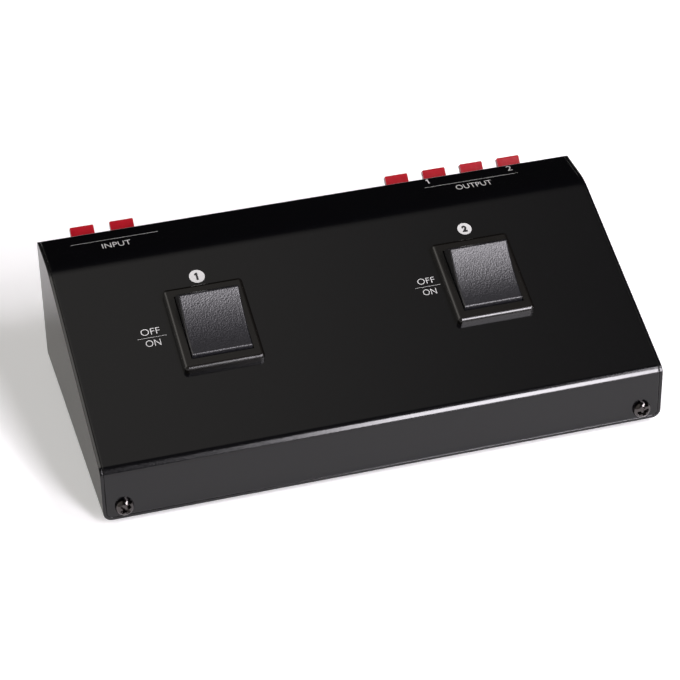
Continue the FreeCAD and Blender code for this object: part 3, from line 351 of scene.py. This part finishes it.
def natural_nylon():
    """Unpigmented nylon 6 moulded: milky, a little light inside it, dull gloss."""
    made, tree, place = fresh("natural_moulded_nylon")
    milk = add(tree, "ShaderNodeTexNoise", inputs={"Vector": place, "Scale": 1 / (1.5 * MM)})
    cream = add(tree, "ShaderNodeMix", {"data_type": "RGBA"},
                {0: milk.outputs["Fac"], 6: colour("#cfc7b0"), 7: colour("#f2eee2")})
    sheen = add(tree, "ShaderNodeMapRange",
                inputs={"Value": milk.outputs["Fac"], **NOISE_SPREAD, "To Min": 0.38, "To Max": 0.48})
    nylon = add(tree, "ShaderNodeBsdfPrincipled", inputs={
        "Base Color": cream.outputs[2], "IOR": 1.53, "Roughness": sheen.outputs["Result"],
        "Subsurface Weight": 0.25, "Subsurface Radius": (1.0, 0.9, 0.7), "Subsurface Scale": 0.8 * MM})
    add(tree, "ShaderNodeOutputMaterial", inputs={"Surface": nylon.outputs["BSDF"]})
    return made


def foot_rubber():
    """Black synthetic rubber, compression moulded: matt, with a dusty bloom in patches of about
    1.5 mm over a skin grained at 0.2 mm."""
    made, tree, place = fresh("moulded_rubber")
    bloom = add(tree, "ShaderNodeTexNoise",
                inputs={"Vector": place, "Scale": 1 / (1.5 * MM), "Detail": 4.0})
    grain = add(tree, "ShaderNodeTexNoise", inputs={"Vector": place, "Scale": 1 / (0.2 * MM)})
    dusty = add(tree, "ShaderNodeMix", {"data_type": "RGBA"},
                {0: bloom.outputs["Fac"], 6: colour("#0f0f0f"), 7: colour("#242322")})
    sheen = add(tree, "ShaderNodeMapRange",
                inputs={"Value": bloom.outputs["Fac"], **NOISE_SPREAD, "To Min": 0.62, "To Max": 0.80})
    tooth = add(tree, "ShaderNodeBump", inputs={"Height": grain.outputs["Fac"], "Strength": 0.4,
                                                "Distance": 0.01 * MM})
    rubber = add(tree, "ShaderNodeBsdfPrincipled", inputs={
        "Base Color": dusty.outputs[2], "IOR": 1.52, "Roughness": sheen.outputs["Result"],
        "Normal": tooth.outputs["Normal"]})
    add(tree, "ShaderNodeOutputMaterial", inputs={"Surface": rubber.outputs["BSDF"]})
    return made


def phenolic_board():
    """Paper pressed in phenolic resin and punched: brown, with paper fibres about 0.25 mm wide and
    1.5 mm long, under a resin gloss."""
    made, tree, place = fresh("phenolic_paper_board")
    along = add(tree, "ShaderNodeMapping", inputs={"Vector": place, "Scale": (0.17, 1.0, 1.0)})
    fibre = add(tree, "ShaderNodeTexNoise", inputs={"Vector": along.outputs["Vector"],
                                                    "Scale": 1 / (0.25 * MM), "Detail": 4.0})
    paper = add(tree, "ShaderNodeMix", {"data_type": "RGBA"},
                {0: fibre.outputs["Fac"], 6: colour("#5c371a"), 7: colour("#ab7847")})
    sheen = add(tree, "ShaderNodeMapRange",
                inputs={"Value": fibre.outputs["Fac"], **NOISE_SPREAD, "To Min": 0.35, "To Max": 0.50})
    press = add(tree, "ShaderNodeBump", inputs={"Height": fibre.outputs["Fac"], "Strength": 0.3,
                                                "Distance": 0.008 * MM})
    board = add(tree, "ShaderNodeBsdfPrincipled", inputs={
        "Base Color": paper.outputs[2], "IOR": 1.6, "Roughness": sheen.outputs["Result"],
        "Normal": press.outputs["Normal"]})
    add(tree, "ShaderNodeOutputMaterial", inputs={"Surface": board.outputs["BSDF"]})
    return made


def pvc_insulation(name, dark, light):
    """Flexible PVC extruded over stranded wire: waxy gloss with shallow waves 0.9 mm apart where the
    strands press through."""
    made, tree, place = fresh(name)
    strand = add(tree, "ShaderNodeTexNoise", inputs={"Vector": place, "Scale": 1 / (0.9 * MM)})
    dye = add(tree, "ShaderNodeMix", {"data_type": "RGBA"},
              {0: strand.outputs["Fac"], 6: colour(dark), 7: colour(light)})
    sheen = add(tree, "ShaderNodeMapRange",
                inputs={"Value": strand.outputs["Fac"], **NOISE_SPREAD, "To Min": 0.34, "To Max": 0.46})
    waves = add(tree, "ShaderNodeBump", inputs={"Height": strand.outputs["Fac"], "Strength": 0.4,
                                                "Distance": 0.02 * MM})
    sleeve = add(tree, "ShaderNodeBsdfPrincipled", inputs={
        "Base Color": dye.outputs[2], "IOR": 1.53, "Roughness": sheen.outputs["Result"],
        "Normal": waves.outputs["Normal"]})
    add(tree, "ShaderNodeOutputMaterial", inputs={"Surface": sleeve.outputs["BSDF"]})
    return made


def screen_ink(name, dark, light):
    """Two-part screen ink on paint: matt, with the mesh's open squares, 0.12 mm in life and drawn
    0.3 mm, as a slight change of cover."""
    made, tree, place = fresh(name)
    cover = add(tree, "ShaderNodeTexNoise", inputs={"Vector": place, "Scale": 1 / (0.3 * MM)})
    ink = add(tree, "ShaderNodeMix", {"data_type": "RGBA"},
              {0: cover.outputs["Fac"], 6: colour(dark), 7: colour(light)})
    sheen = add(tree, "ShaderNodeMapRange",
                inputs={"Value": cover.outputs["Fac"], **NOISE_SPREAD, "To Min": 0.50, "To Max": 0.65})
    mesh_mark = add(tree, "ShaderNodeBump", inputs={"Height": cover.outputs["Fac"], "Strength": 0.2,
                                                    "Distance": 0.004 * MM})
    film_coat = add(tree, "ShaderNodeBsdfPrincipled", inputs={
        "Base Color": ink.outputs[2], "IOR": 1.5, "Roughness": sheen.outputs["Result"],
        "Normal": mesh_mark.outputs["Normal"]})
    add(tree, "ShaderNodeOutputMaterial", inputs={"Surface": film_coat.outputs["BSDF"]})
    return made


FINISH = {
    "painted_base": satin_black_paint("satin_black_powder_tray", rollover=0.36),
    "painted_cover": satin_black_paint("satin_black_powder_cover", rollover=0.0),
    "screw_steel": black_nickel(),
    "zinc_steel": drawn_metal("bright_zinc_plate", "#b4b9bf", "#d3d6da", low=0.24, high=0.36),
    "rubber": foot_rubber(),
    "switch_plastic": spark_textured_nylon(),
    "rocker_plastic": grained_rocker_abs(),
    "block_plastic": moulded_abs("moulded_black_pbt", "#0f0f10", "#171718", roughness=0.42),
    "insulating_board": phenolic_board(),
    "red_plastic": moulded_abs("moulded_red_abs", "#900b18", "#a81925", roughness=0.11),
    "black_plastic": moulded_abs("moulded_black_abs", "#0d0d0e", "#151516", roughness=0.34),
    "contact_brass": drawn_metal("rolled_brass", "#b08d45", "#d0ad62", low=0.22, high=0.34),
    "natural_nylon": natural_nylon(),
    "red_insulation": pvc_insulation("extruded_red_pvc", "#a3131c", "#bb1c25"),
    "black_insulation": pvc_insulation("extruded_black_pvc", "#121212", "#1a1a1b"),
}
WHITE_INK = screen_ink("white_screen_ink", "#b6b6b4", "#cecfcc")
BLACK_INK = screen_ink("black_screen_ink", "#0e0e0e", "#1a1a1a")


def dress_nodes():
    """Each node that keeps its shape takes the finish named by its record slot."""
    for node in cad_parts.values():
        for held in node.material_slots:
            held.material = FINISH[held.material.name.split(".")[0]]


dress_nodes()


# ---- printing ----

def film(name, outline, face, low, high):
    """A flat closed film: the outline's points at height low and again at height high, each filled,
    with a wall of one face for each pair of neighbours."""
    count = len(outline)
    rings = [on_face(face, outline[:, 0], outline[:, 1], level) for level in (low, high)]
    here = np.arange(count)
    there = (here + 1) % count
    walls = np.stack([here, there, there + count, here + count], -1).tolist()
    mesh = bpy.data.meshes.new(name)
    mesh.from_pydata(np.concatenate(rings).tolist(), [],
                     walls + [here[::-1].tolist(), (here + count).tolist()])
    mesh.update()
    return mesh


def rule(name, face, start, end, up):
    """A printed line with round ends: half circles of half the line's width about its two ends."""
    turn = np.linspace(-math.pi / 2, math.pi / 2, 9)
    right = np.stack([end + RULE / 2 * np.cos(turn), up + RULE / 2 * np.sin(turn)], -1)
    left = np.stack([start - RULE / 2 * np.cos(turn), up - RULE / 2 * np.sin(turn)], -1)
    mesh = film(name, np.concatenate([right, left]), face, INK_FOOT, INK_TOP)
    piece(name, mesh, WHITE_INK, "case", smooth=False)


def disc(name, face, across, up, width):
    """A printed dot: a circle of the given width."""
    turn = np.linspace(0, 2 * math.pi, 72, endpoint=False)
    outline = np.stack([across + width / 2 * np.cos(turn), up + width / 2 * np.sin(turn)], -1)
    mesh = film(name, outline, face, INK_FOOT, INK_TOP)
    piece(name, mesh, WHITE_INK, "case", smooth=False)


def lettering(name, words, face, across, up, capital, width=None, ink=WHITE_INK, lift=0.0, weight=THIN):
    """Printed letters: the font's outline at unit size, filled and made a mesh, scaled so that its
    capitals are the given height and the whole word the given width, then centred on its place.  The
    outline is extruded a little, so that its upper points can go to the ink's top and the rest to its
    foot."""
    text = bpy.data.curves.new(name, "FONT")
    text.body, text.size, text.extrude, text.offset, text.resolution_u = words, 1.0, 0.01, weight, 5
    holder = bpy.data.objects.new(name + "_outline", text)
    bpy.context.scene.collection.objects.link(holder)
    bpy.context.view_layer.update()
    mesh = bpy.data.meshes.new_from_object(holder.evaluated_get(bpy.context.evaluated_depsgraph_get()))
    bpy.data.objects.remove(holder)
    bpy.data.curves.remove(text)
    co = np.empty(len(mesh.vertices) * 3)
    mesh.vertices.foreach_get("co", co)
    co = co.reshape(-1, 3)
    low, high = co.min(0), co.max(0)
    tall = capital / (high[1] - low[1])
    wide = width / (high[0] - low[0]) if width else tall
    height = np.where(co[:, 2] > 0, INK_TOP, INK_FOOT) + lift
    place = on_face(face, across + (co[:, 0] - (low[0] + high[0]) / 2) * wide,
                    up + (co[:, 1] - (low[1] + high[1]) / 2) * tall, height)
    mesh.vertices.foreach_set("co", place.astype(np.float32).ravel())
    mesh.name = name
    mesh.materials.clear()
    mesh.update()
    piece(name, mesh, ink, "case", smooth=False)


def numeral_one(name, face, across, up, capital, half, ink=WHITE_INK, low=INK_FOOT, high=INK_TOP):
    """A printed 1: an upright stroke, half its width either side of its middle, whose flag leaves the
    top corner and comes down to the left, where it is cut upright.  Its corners are shares of its
    height, and half is the share that is half the stroke's width."""
    flag_tip = -half - 0.14
    corners = [(half, -0.5), (half, 0.5), (0.04 - half, 0.5), (flag_tip, 0.32), (flag_tip, 0.14),
               (-half, 0.22), (-half, -0.5)]
    outline = np.array(corners[::-1]) * capital + np.array([across, up])
    piece(name, film(name, outline, face, low, high), ink, "case", smooth=False)


# on the level strip: a rule and a word for each terminal block, and a numeral for each output pair
input_x, output_x = middle_x("input_block"), middle_x("output_block")
rule("input_rule", LEVEL, start=input_x - 12.6 * MM, end=input_x + 15.8 * MM, up=83.7 * MM)
rule("output_rule", LEVEL, start=output_x - 14.3 * MM, end=output_x + 18.2 * MM, up=83.35 * MM)
lettering("word_input", "INPUT", LEVEL, across=input_x + 1.5 * MM, up=80.25 * MM,
          capital=SMALL_CAPITAL, width=9.3 * MM)
lettering("word_output", "OUTPUT", LEVEL, across=output_x + 1.85 * MM, up=80.4 * MM,
          capital=SMALL_CAPITAL, width=12.35 * MM)
numeral_one("output_numeral_1", LEVEL, across=output_x - 11.9 * MM, up=87.0 * MM,
            capital=SMALL_CAPITAL, half=0.075)
lettering("output_numeral_2", "2", LEVEL, across=output_x + 16.35 * MM, up=86.85 * MM,
          capital=SMALL_CAPITAL, width=1.7 * MM)
# beside each switch; the second set is printed a little to the right, higher and smaller
for number, drift, rise, size in ((1, 0.0, 0.0, 1.02), (2, 1.9 * MM, 1.1 * MM, 0.95)):
    switch_x = middle_x(f"switch_housing_{number}")
    dot_x = switch_x - DISC_LEFT + drift * 0.55
    dot_up = SWITCH_UP + BEZEL_LENGTH / 2 + DISC_ABOVE + rise * 0.8
    disc(f"switch_disc_{number}", SLOPE, dot_x, dot_up, DISC * size)
    if number == 1:
        numeral_one("switch_numeral_1", SLOPE, dot_x, dot_up, capital=2.8 * MM * size, half=0.12,
                    ink=BLACK_INK, low=0.0, high=INK_TOP + OVERPRINT)
    else:
        lettering("switch_numeral_2", "2", SLOPE, dot_x, dot_up, capital=2.7 * MM * size,
                  ink=BLACK_INK, lift=OVERPRINT, weight=BOLD)
    word_x, capital = switch_x - WORDS_LEFT + drift, SWITCH_CAPITAL * size
    lettering(f"word_off_{number}", "OFF", SLOPE, word_x, SWITCH_UP + OFF_ABOVE + rise, capital,
              width=5.9 * MM * size)
    lettering(f"word_on_{number}", "ON", SLOPE, word_x, SWITCH_UP - ON_BELOW + rise, capital,
              width=4.65 * MM * size)
    rule(f"switch_rule_{number}", SLOPE, start=word_x - 4.4 * MM * size, end=word_x + 4.6 * MM * size,
         up=SWITCH_UP + SWITCH_RULE_ABOVE + rise)


# ---- fasteners, feet and springs ----

def screw(name, spot, outward, turn, length):
    """A pan-head machine screw as one surface of rings and columns.  Rings run from the head's middle
    out over its top, in under it and down the shank.  The top is 0.22 of the head's height plus a
    superellipse, 0.78 of the height times (1 - (r / R) ^ 3.4) ^ (1 / 1.7), less the cross: where the
    smaller of |x| and |y| is under half the slot's width and the larger under half its span, both
    with sloped walls, it sinks, deepest in the middle.  On the shank the radius drops with a triangle
    wave of (depth / pitch - angle), and it narrows over the last rings into a chamfered tip."""
    angle = np.linspace(0, 2 * math.pi, 132, endpoint=False)[None, :]
    radius = (HEAD_RADIUS * np.linspace(0.012, 1, 46))[:, None]
    x, y = radius * np.cos(angle - turn), radius * np.sin(angle - turn)
    near, far = np.minimum(abs(x), abs(y)), np.maximum(abs(x), abs(y))
    dome = HEAD_HEIGHT * (0.22 + 0.78 * (1 - (radius / HEAD_RADIUS) ** 3.4) ** (1 / 1.7))
    wall = np.clip((CROSS_WIDTH / 2 + 0.1 * MM - near) / (0.2 * MM), 0, 1)
    sink = CROSS_DEPTH * np.clip((CROSS_SPAN / 2 - far) / (CROSS_SPAN * 0.22), 0, 1)
    top = dome - wall * sink
    top = np.stack([radius * np.cos(angle), radius * np.sin(angle), top + 0 * angle], -1)
    depth = np.concatenate([[0.0, 0.0], np.linspace(0.1 * MM, length - 0.8 * MM, 60),
                            [length - 0.3 * MM, length]])
    wave = abs(((depth[:, None] / SCREW_PITCH - angle / (2 * math.pi)) % 1) * 2 - 1)
    root = SCREW_RADIUS * (1 - THREAD_DEPTH * wave)
    root[0], root[1] = HEAD_RADIUS * 0.97, SCREW_RADIUS             # under the head, then plain
    root[-2], root[-1] = SCREW_RADIUS * 0.84, SCREW_RADIUS * 0.55   # the tip
    shank = np.stack([root * np.cos(angle), root * np.sin(angle), -depth[:, None] + 0 * angle], -1)
    rings = np.concatenate([top, shank])
    side = np.array([1.0, 0.0, 0.0])
    way = np.array(outward, float)
    up = np.cross(way, side)
    placed = np.array(spot) + rings[..., :1] * side + rings[..., 1:2] * up + rings[..., 2:] * way
    return skin(name, placed)


def screws(node, way, seat_y, columns, length, turns):
    """The screws that stand for one node: a head seated at seat_y on each column, at the node's height.
    Turns are the angles at which the crosses stop; hand-driven screws stop anywhere."""
    low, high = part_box(node)
    level = (low.z + high.z) / 2
    heads = [screw(f"{node}_{k}", (x, seat_y, level), (0, way, 0), turns[k % len(turns)], length)
             for k, x in enumerate(columns)]
    name = f"{node}_threaded"
    made = piece(name, joined(name, heads), FINISH["screw_steel"], "case")
    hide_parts(node)


front_low, front_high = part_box("front_screws")
cover_columns = (front_low.x + HEAD_RADIUS, front_high.x - HEAD_RADIUS)
screws("front_screws", -1, FRONT_Y, cover_columns, front_high.y - FRONT_Y, turns=(0.62, 0.2))
screws("rear_screws", 1, BACK_Y, cover_columns, BACK_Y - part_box("rear_screws")[0].y, turns=(1.1, 0.35))
block_low, block_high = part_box("block_screws")
ear_columns = [edge for block in ("input_block", "output_block")
               for edge in (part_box(block)[0].x + BLOCK_EAR / 2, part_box(block)[1].x - BLOCK_EAR / 2)]
flange_y = block_high.y - HEAD_HEIGHT
screws("block_screws", 1, flange_y, ear_columns, flange_y - block_low.y, turns=(0.5, 0.9, 0.15, 1.3))


def rubber_feet():
    """Four feet, each a section turned about its axis: down a side that leans in, round an edge, over a
    flat tread 0.75 mm wide and up into a shallow cup."""
    low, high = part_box("rubber_feet")
    tall = high.z - low.z
    foot = FOOT_RADIUS
    turn = np.linspace(0, math.pi / 2, 8)
    radius = np.concatenate([[foot], foot - FOOT_DRAFT - FOOT_EDGE * (1 - np.cos(turn)),
                             [foot - 1.6 * MM, foot - 1.9 * MM, foot - 2.4 * MM, 0.6 * MM]])
    height = np.concatenate([[tall], FOOT_EDGE * (1 - np.sin(turn)), [0.0, 0.12 * MM, FOOT_CUP, FOOT_CUP]])
    angle = np.linspace(0, 2 * math.pi, 72, endpoint=False)[None, :]
    section = np.stack([radius[:, None] * np.cos(angle), -radius[:, None] * np.sin(angle),
                        height[:, None] + 0 * angle], -1)
    feet = [skin(f"foot_{side}_{end}", section + np.array([side, end, low.z]))
            for side in (low.x + foot, high.x - foot) for end in (low.y + foot, high.y - foot)]
    made = piece("moulded_feet", joined("moulded_feet", feet), FINISH["rubber"], "case")
    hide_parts("rubber_feet")


def plunger_springs(number):
    """Two compression springs: a ring as wide as the wire is carried round a helix, whose height is 65
    hundredths an even rise and 35 hundredths half a cosine wave, so that the coils lie closer at the
    ends.  Both are tilted with the rocker and set on the slope."""
    axis = SLOPE[0] + SLOPE[1] * SWITCH_UP + Vector((middle_x(f"switch_housing_{number}"), 0, 0))
    lean = SLOPE_ANGLE + ROCKER_THROW
    along = np.array([0, -math.sin(lean), math.cos(lean)])
    back = np.array([0, math.cos(lean), math.sin(lean)])
    side = np.array([1.0, 0, 0])
    s = np.linspace(0, 1, 240)
    swing = 2 * math.pi * SPRING_TURNS * s
    bend = SPRING_RADIUS - SPRING_WIRE / 2
    travel = SPRING_LENGTH - SPRING_WIRE
    ease = 0.5 - 0.5 * np.cos(math.pi * np.clip((s - 0.1) / 0.8, 0, 1))
    rise = SPRING_WIRE / 2 + travel * ease * 0.35 + travel * 0.65 * s
    outwards = np.cos(swing)[:, None] * side + np.sin(swing)[:, None] * back
    round_wire = np.linspace(0, 2 * math.pi, 12, endpoint=False)
    coils = []
    for pole in (-1, 1):
        root = np.array(axis) + side * pole * POLE_OFFSET + along * SPRING_START
        centre = root + outwards * bend + rise[:, None] * along
        wire = (centre[:, None, :]
                + SPRING_WIRE / 2 * np.cos(round_wire)[None, :, None] * outwards[:, None, :]
                + SPRING_WIRE / 2 * np.sin(round_wire)[None, :, None] * along)
        coils.append(skin(f"coil_{number}_{pole}", wire))
    name = f"coiled_springs_{number}"
    made = piece(name, joined(name, coils), FINISH["zinc_steel"], f"rocker_body_{number}")
    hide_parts(f"plunger_springs_{number}")


rubber_feet()
for number in (1, 2):
    plunger_springs(number)


# ---- stage, lamps and camera ----

LEVEL_REACH = 3.0                       # metres of level floor, each way
SWEEP_RADIUS = 1.4
PAPER_LIT, PAPER_SEEN = 0.8, 0.92       # paleness of the floor as it lights the case, and as it is seen
EYE_GLOW, PAPER_GLOW = 0.23, 0.06       # light added to it for the eye alone, and for mirrors too
WINDOW, WALL, DARK = 1.5, 0.3, 0.01     # strengths in the dim room: window, its wall, everywhere else
LAMP_TINT = (1.0, 0.96, 1.02)           # cool, with a trace of magenta
ROOM_TINT = (1.0, 0.96, 0.91, 1)        # warm


def white_floor():
    """A plain pale paper floor: it takes the lamps' light and shadows, and looks white to the eye and
    in reflections."""
    made, tree, _ = fresh("pale_paper_floor")
    seen = add(tree, "ShaderNodeLightPath")
    either = add(tree, "ShaderNodeMath", {"operation": "MAXIMUM"},
                 {0: seen.outputs["Is Camera Ray"], 1: seen.outputs["Is Glossy Ray"]})
    any_view = add(tree, "ShaderNodeMath", {"operation": "MAXIMUM"},
                   {0: either.outputs[0], 1: seen.outputs["Is Transmission Ray"]})
    lit = add(tree, "ShaderNodeBsdfDiffuse", inputs={"Color": (PAPER_LIT, PAPER_LIT, PAPER_LIT, 1)})
    shadowed = add(tree, "ShaderNodeBsdfDiffuse",
                   inputs={"Color": (PAPER_SEEN, PAPER_SEEN, PAPER_SEEN, 1)})
    level = add(tree, "ShaderNodeMath", {"operation": "MULTIPLY_ADD"},
                {0: seen.outputs["Is Camera Ray"], 1: EYE_GLOW, 2: PAPER_GLOW})
    glow = add(tree, "ShaderNodeEmission", inputs={"Color": (1, 1, 1, 1), "Strength": level.outputs[0]})
    white = add(tree, "ShaderNodeAddShader", inputs={0: shadowed.outputs[0], 1: glow.outputs[0]})
    mix = add(tree, "ShaderNodeMixShader",
              inputs={0: any_view.outputs[0], 1: lit.outputs[0], 2: white.outputs[0]})
    add(tree, "ShaderNodeOutputMaterial", inputs={"Surface": mix.outputs[0]})
    return made


def studio():
    """Floor: a disc that runs level to 3 m and then sweeps up on 50 degrees of a 1.4 m circle to a rim,
    which is lowest towards the front: its height is scaled by 0.55 + 0.45 sin(angle)."""
    sweep = np.linspace(0, math.radians(50), 14)
    radius = np.concatenate([np.linspace(0.01, LEVEL_REACH, 12),
                             LEVEL_REACH + SWEEP_RADIUS * np.sin(sweep[1:])])
    height = np.concatenate([np.zeros(12), SWEEP_RADIUS * (1 - np.cos(sweep[1:]))])
    angle = np.linspace(0, 2 * math.pi, 96, endpoint=False)[None, :]
    rings = np.stack([radius[:, None] * np.cos(angle), radius[:, None] * np.sin(angle),
                      height[:, None] * (0.55 + 0.45 * np.sin(angle))], -1)
    count, columns = rings.shape[:2]
    r, c = np.meshgrid(np.arange(count - 1), np.arange(columns), indexing="ij")
    c2 = (c + 1) % columns
    quads = np.stack([r * columns + c, (r + 1) * columns + c, (r + 1) * columns + c2, r * columns + c2], -1)
    mesh = bpy.data.meshes.new("studio_floor")
    mesh.from_pydata(rings.reshape(-1, 3).tolist(), [],
                     quads.reshape(-1, 4).tolist() + [np.arange(columns).tolist()])
    mesh.polygons.foreach_set("use_smooth", np.full(len(mesh.polygons), True))
    mesh.materials.append(white_floor())
    mesh.update()
    floor = bpy.data.objects.new("studio_floor", mesh)
    bpy.context.scene.collection.objects.link(floor)


def soft_box(name, left, right, first, last, distance, radiance):
    """A soft box: a rectangle that faces the case from a distance.  Sideways it runs from left to
    right, and over the top it runs from the first to the last angle, both in degrees from the back.
    Its power is its radiance times pi times its area."""
    middle, reach = math.radians((first + last) / 2), math.tan(math.radians((last - first) / 2))
    light = bpy.data.lights.new(name, "AREA")
    light.shape, light.size, light.size_y = "RECTANGLE", right - left, 2 * distance * reach
    light.energy = radiance * math.pi * light.size * light.size_y
    light.color = LAMP_TINT
    made = bpy.data.objects.new(name, light)
    bpy.context.scene.collection.objects.link(made)
    made.matrix_world = (Matrix.Translation(((left + right) / 2, distance * math.cos(middle),
                                             distance * math.sin(middle)))
                         @ Matrix.Rotation(middle - math.pi / 2, 4, "X"))
    made.visible_camera = False


def room_world():
    """A dim room: strength by direction.  Overhead, a pale warm ceiling strip that fades to the right,
    ends sharply towards the back and more slowly towards the front; on the left, a wall with a tall
    window that stands level with the strip."""
    world = bpy.data.worlds.new("dim_room")
    world.use_nodes = True
    tree = world.node_tree
    tree.nodes.clear()
    direction = add(tree, "ShaderNodeTexCoord")
    way = add(tree, "ShaderNodeSeparateXYZ", inputs={0: direction.outputs["Generated"]})
    smooth = {"interpolation_type": "SMOOTHSTEP"}
    back = add(tree, "ShaderNodeMapRange", smooth, {"Value": way.outputs["Y"], "From Min": 0.34,
                                                    "From Max": 0.43, "To Min": 1.0, "To Max": 0.0})
    front = add(tree, "ShaderNodeMapRange", smooth, {"Value": way.outputs["Y"], "From Min": 0.02,
                                                     "From Max": 0.15, "To Min": 0.06, "To Max": 1.0})
    fade = add(tree, "ShaderNodeMapRange", smooth, {"Value": way.outputs["X"], "From Min": 0.09,
                                                    "From Max": 0.40, "To Min": 0.53, "To Max": 0.11})
    over = add(tree, "ShaderNodeMapRange", smooth, {"Value": way.outputs["Z"], "From Min": 0.5,
                                                    "From Max": 0.8, "To Min": 0.0, "To Max": 1.0})
    wall = add(tree, "ShaderNodeMapRange", smooth, {"Value": way.outputs["X"], "From Min": -0.5,
                                                    "From Max": -0.12, "To Min": 1.0, "To Max": 0.0})
    band = add(tree, "ShaderNodeMath", {"operation": "MULTIPLY"}, {0: back.outputs[0], 1: front.outputs[0]})
    window = add(tree, "ShaderNodeMath", {"operation": "MULTIPLY_ADD"},
                 {0: band.outputs[0], 1: WINDOW, 2: WALL})
    paler = add(tree, "ShaderNodeMath", {"operation": "MULTIPLY"}, {0: fade.outputs[0], 1: over.outputs[0]})
    strip = add(tree, "ShaderNodeMath", {"operation": "MULTIPLY_ADD"},
                {0: band.outputs[0], 1: paler.outputs[0], 2: DARK})
    total = add(tree, "ShaderNodeMath", {"operation": "MULTIPLY_ADD"},
                {0: wall.outputs[0], 1: window.outputs[0], 2: strip.outputs[0]})
    light = add(tree, "ShaderNodeBackground",
                inputs={"Color": ROOM_TINT, "Strength": total.outputs[0]})
    add(tree, "ShaderNodeOutputWorld", inputs={"Surface": light.outputs[0]})
    bpy.context.scene.world = world


def camera():
    """A long lens from the front, a little left, 35 degrees up: placed, then turned to face the case,
    tipped up from straight down, and rolled."""
    place, turn, tip, roll = (-0.18070, -0.64392, 0.47930), -15.5565, 55.4043, -1.0785
    data = bpy.data.cameras.new("view")
    data.lens, data.sensor_width = 133.82, 36.0
    made = bpy.data.objects.new("view", data)
    bpy.context.scene.collection.objects.link(made)
    made.matrix_world = (Matrix.Translation(place)
                         @ Matrix.Rotation(math.radians(turn), 4, "Z")
                         @ Matrix.Rotation(math.radians(tip), 4, "X")
                         @ Matrix.Rotation(math.radians(roll), 4, "Z"))
    bpy.context.scene.camera = made


studio()
soft_box("tall_soft_box", left=0.43, right=0.87, first=130.0, last=171.0, distance=2.0, radiance=26.0)
soft_box("side_soft_box", left=0.68, right=1.12, first=106.0, last=127.0, distance=1.6, radiance=22.0)
room_world()
camera()
bpy.context.scene.view_settings.view_transform = "Standard"
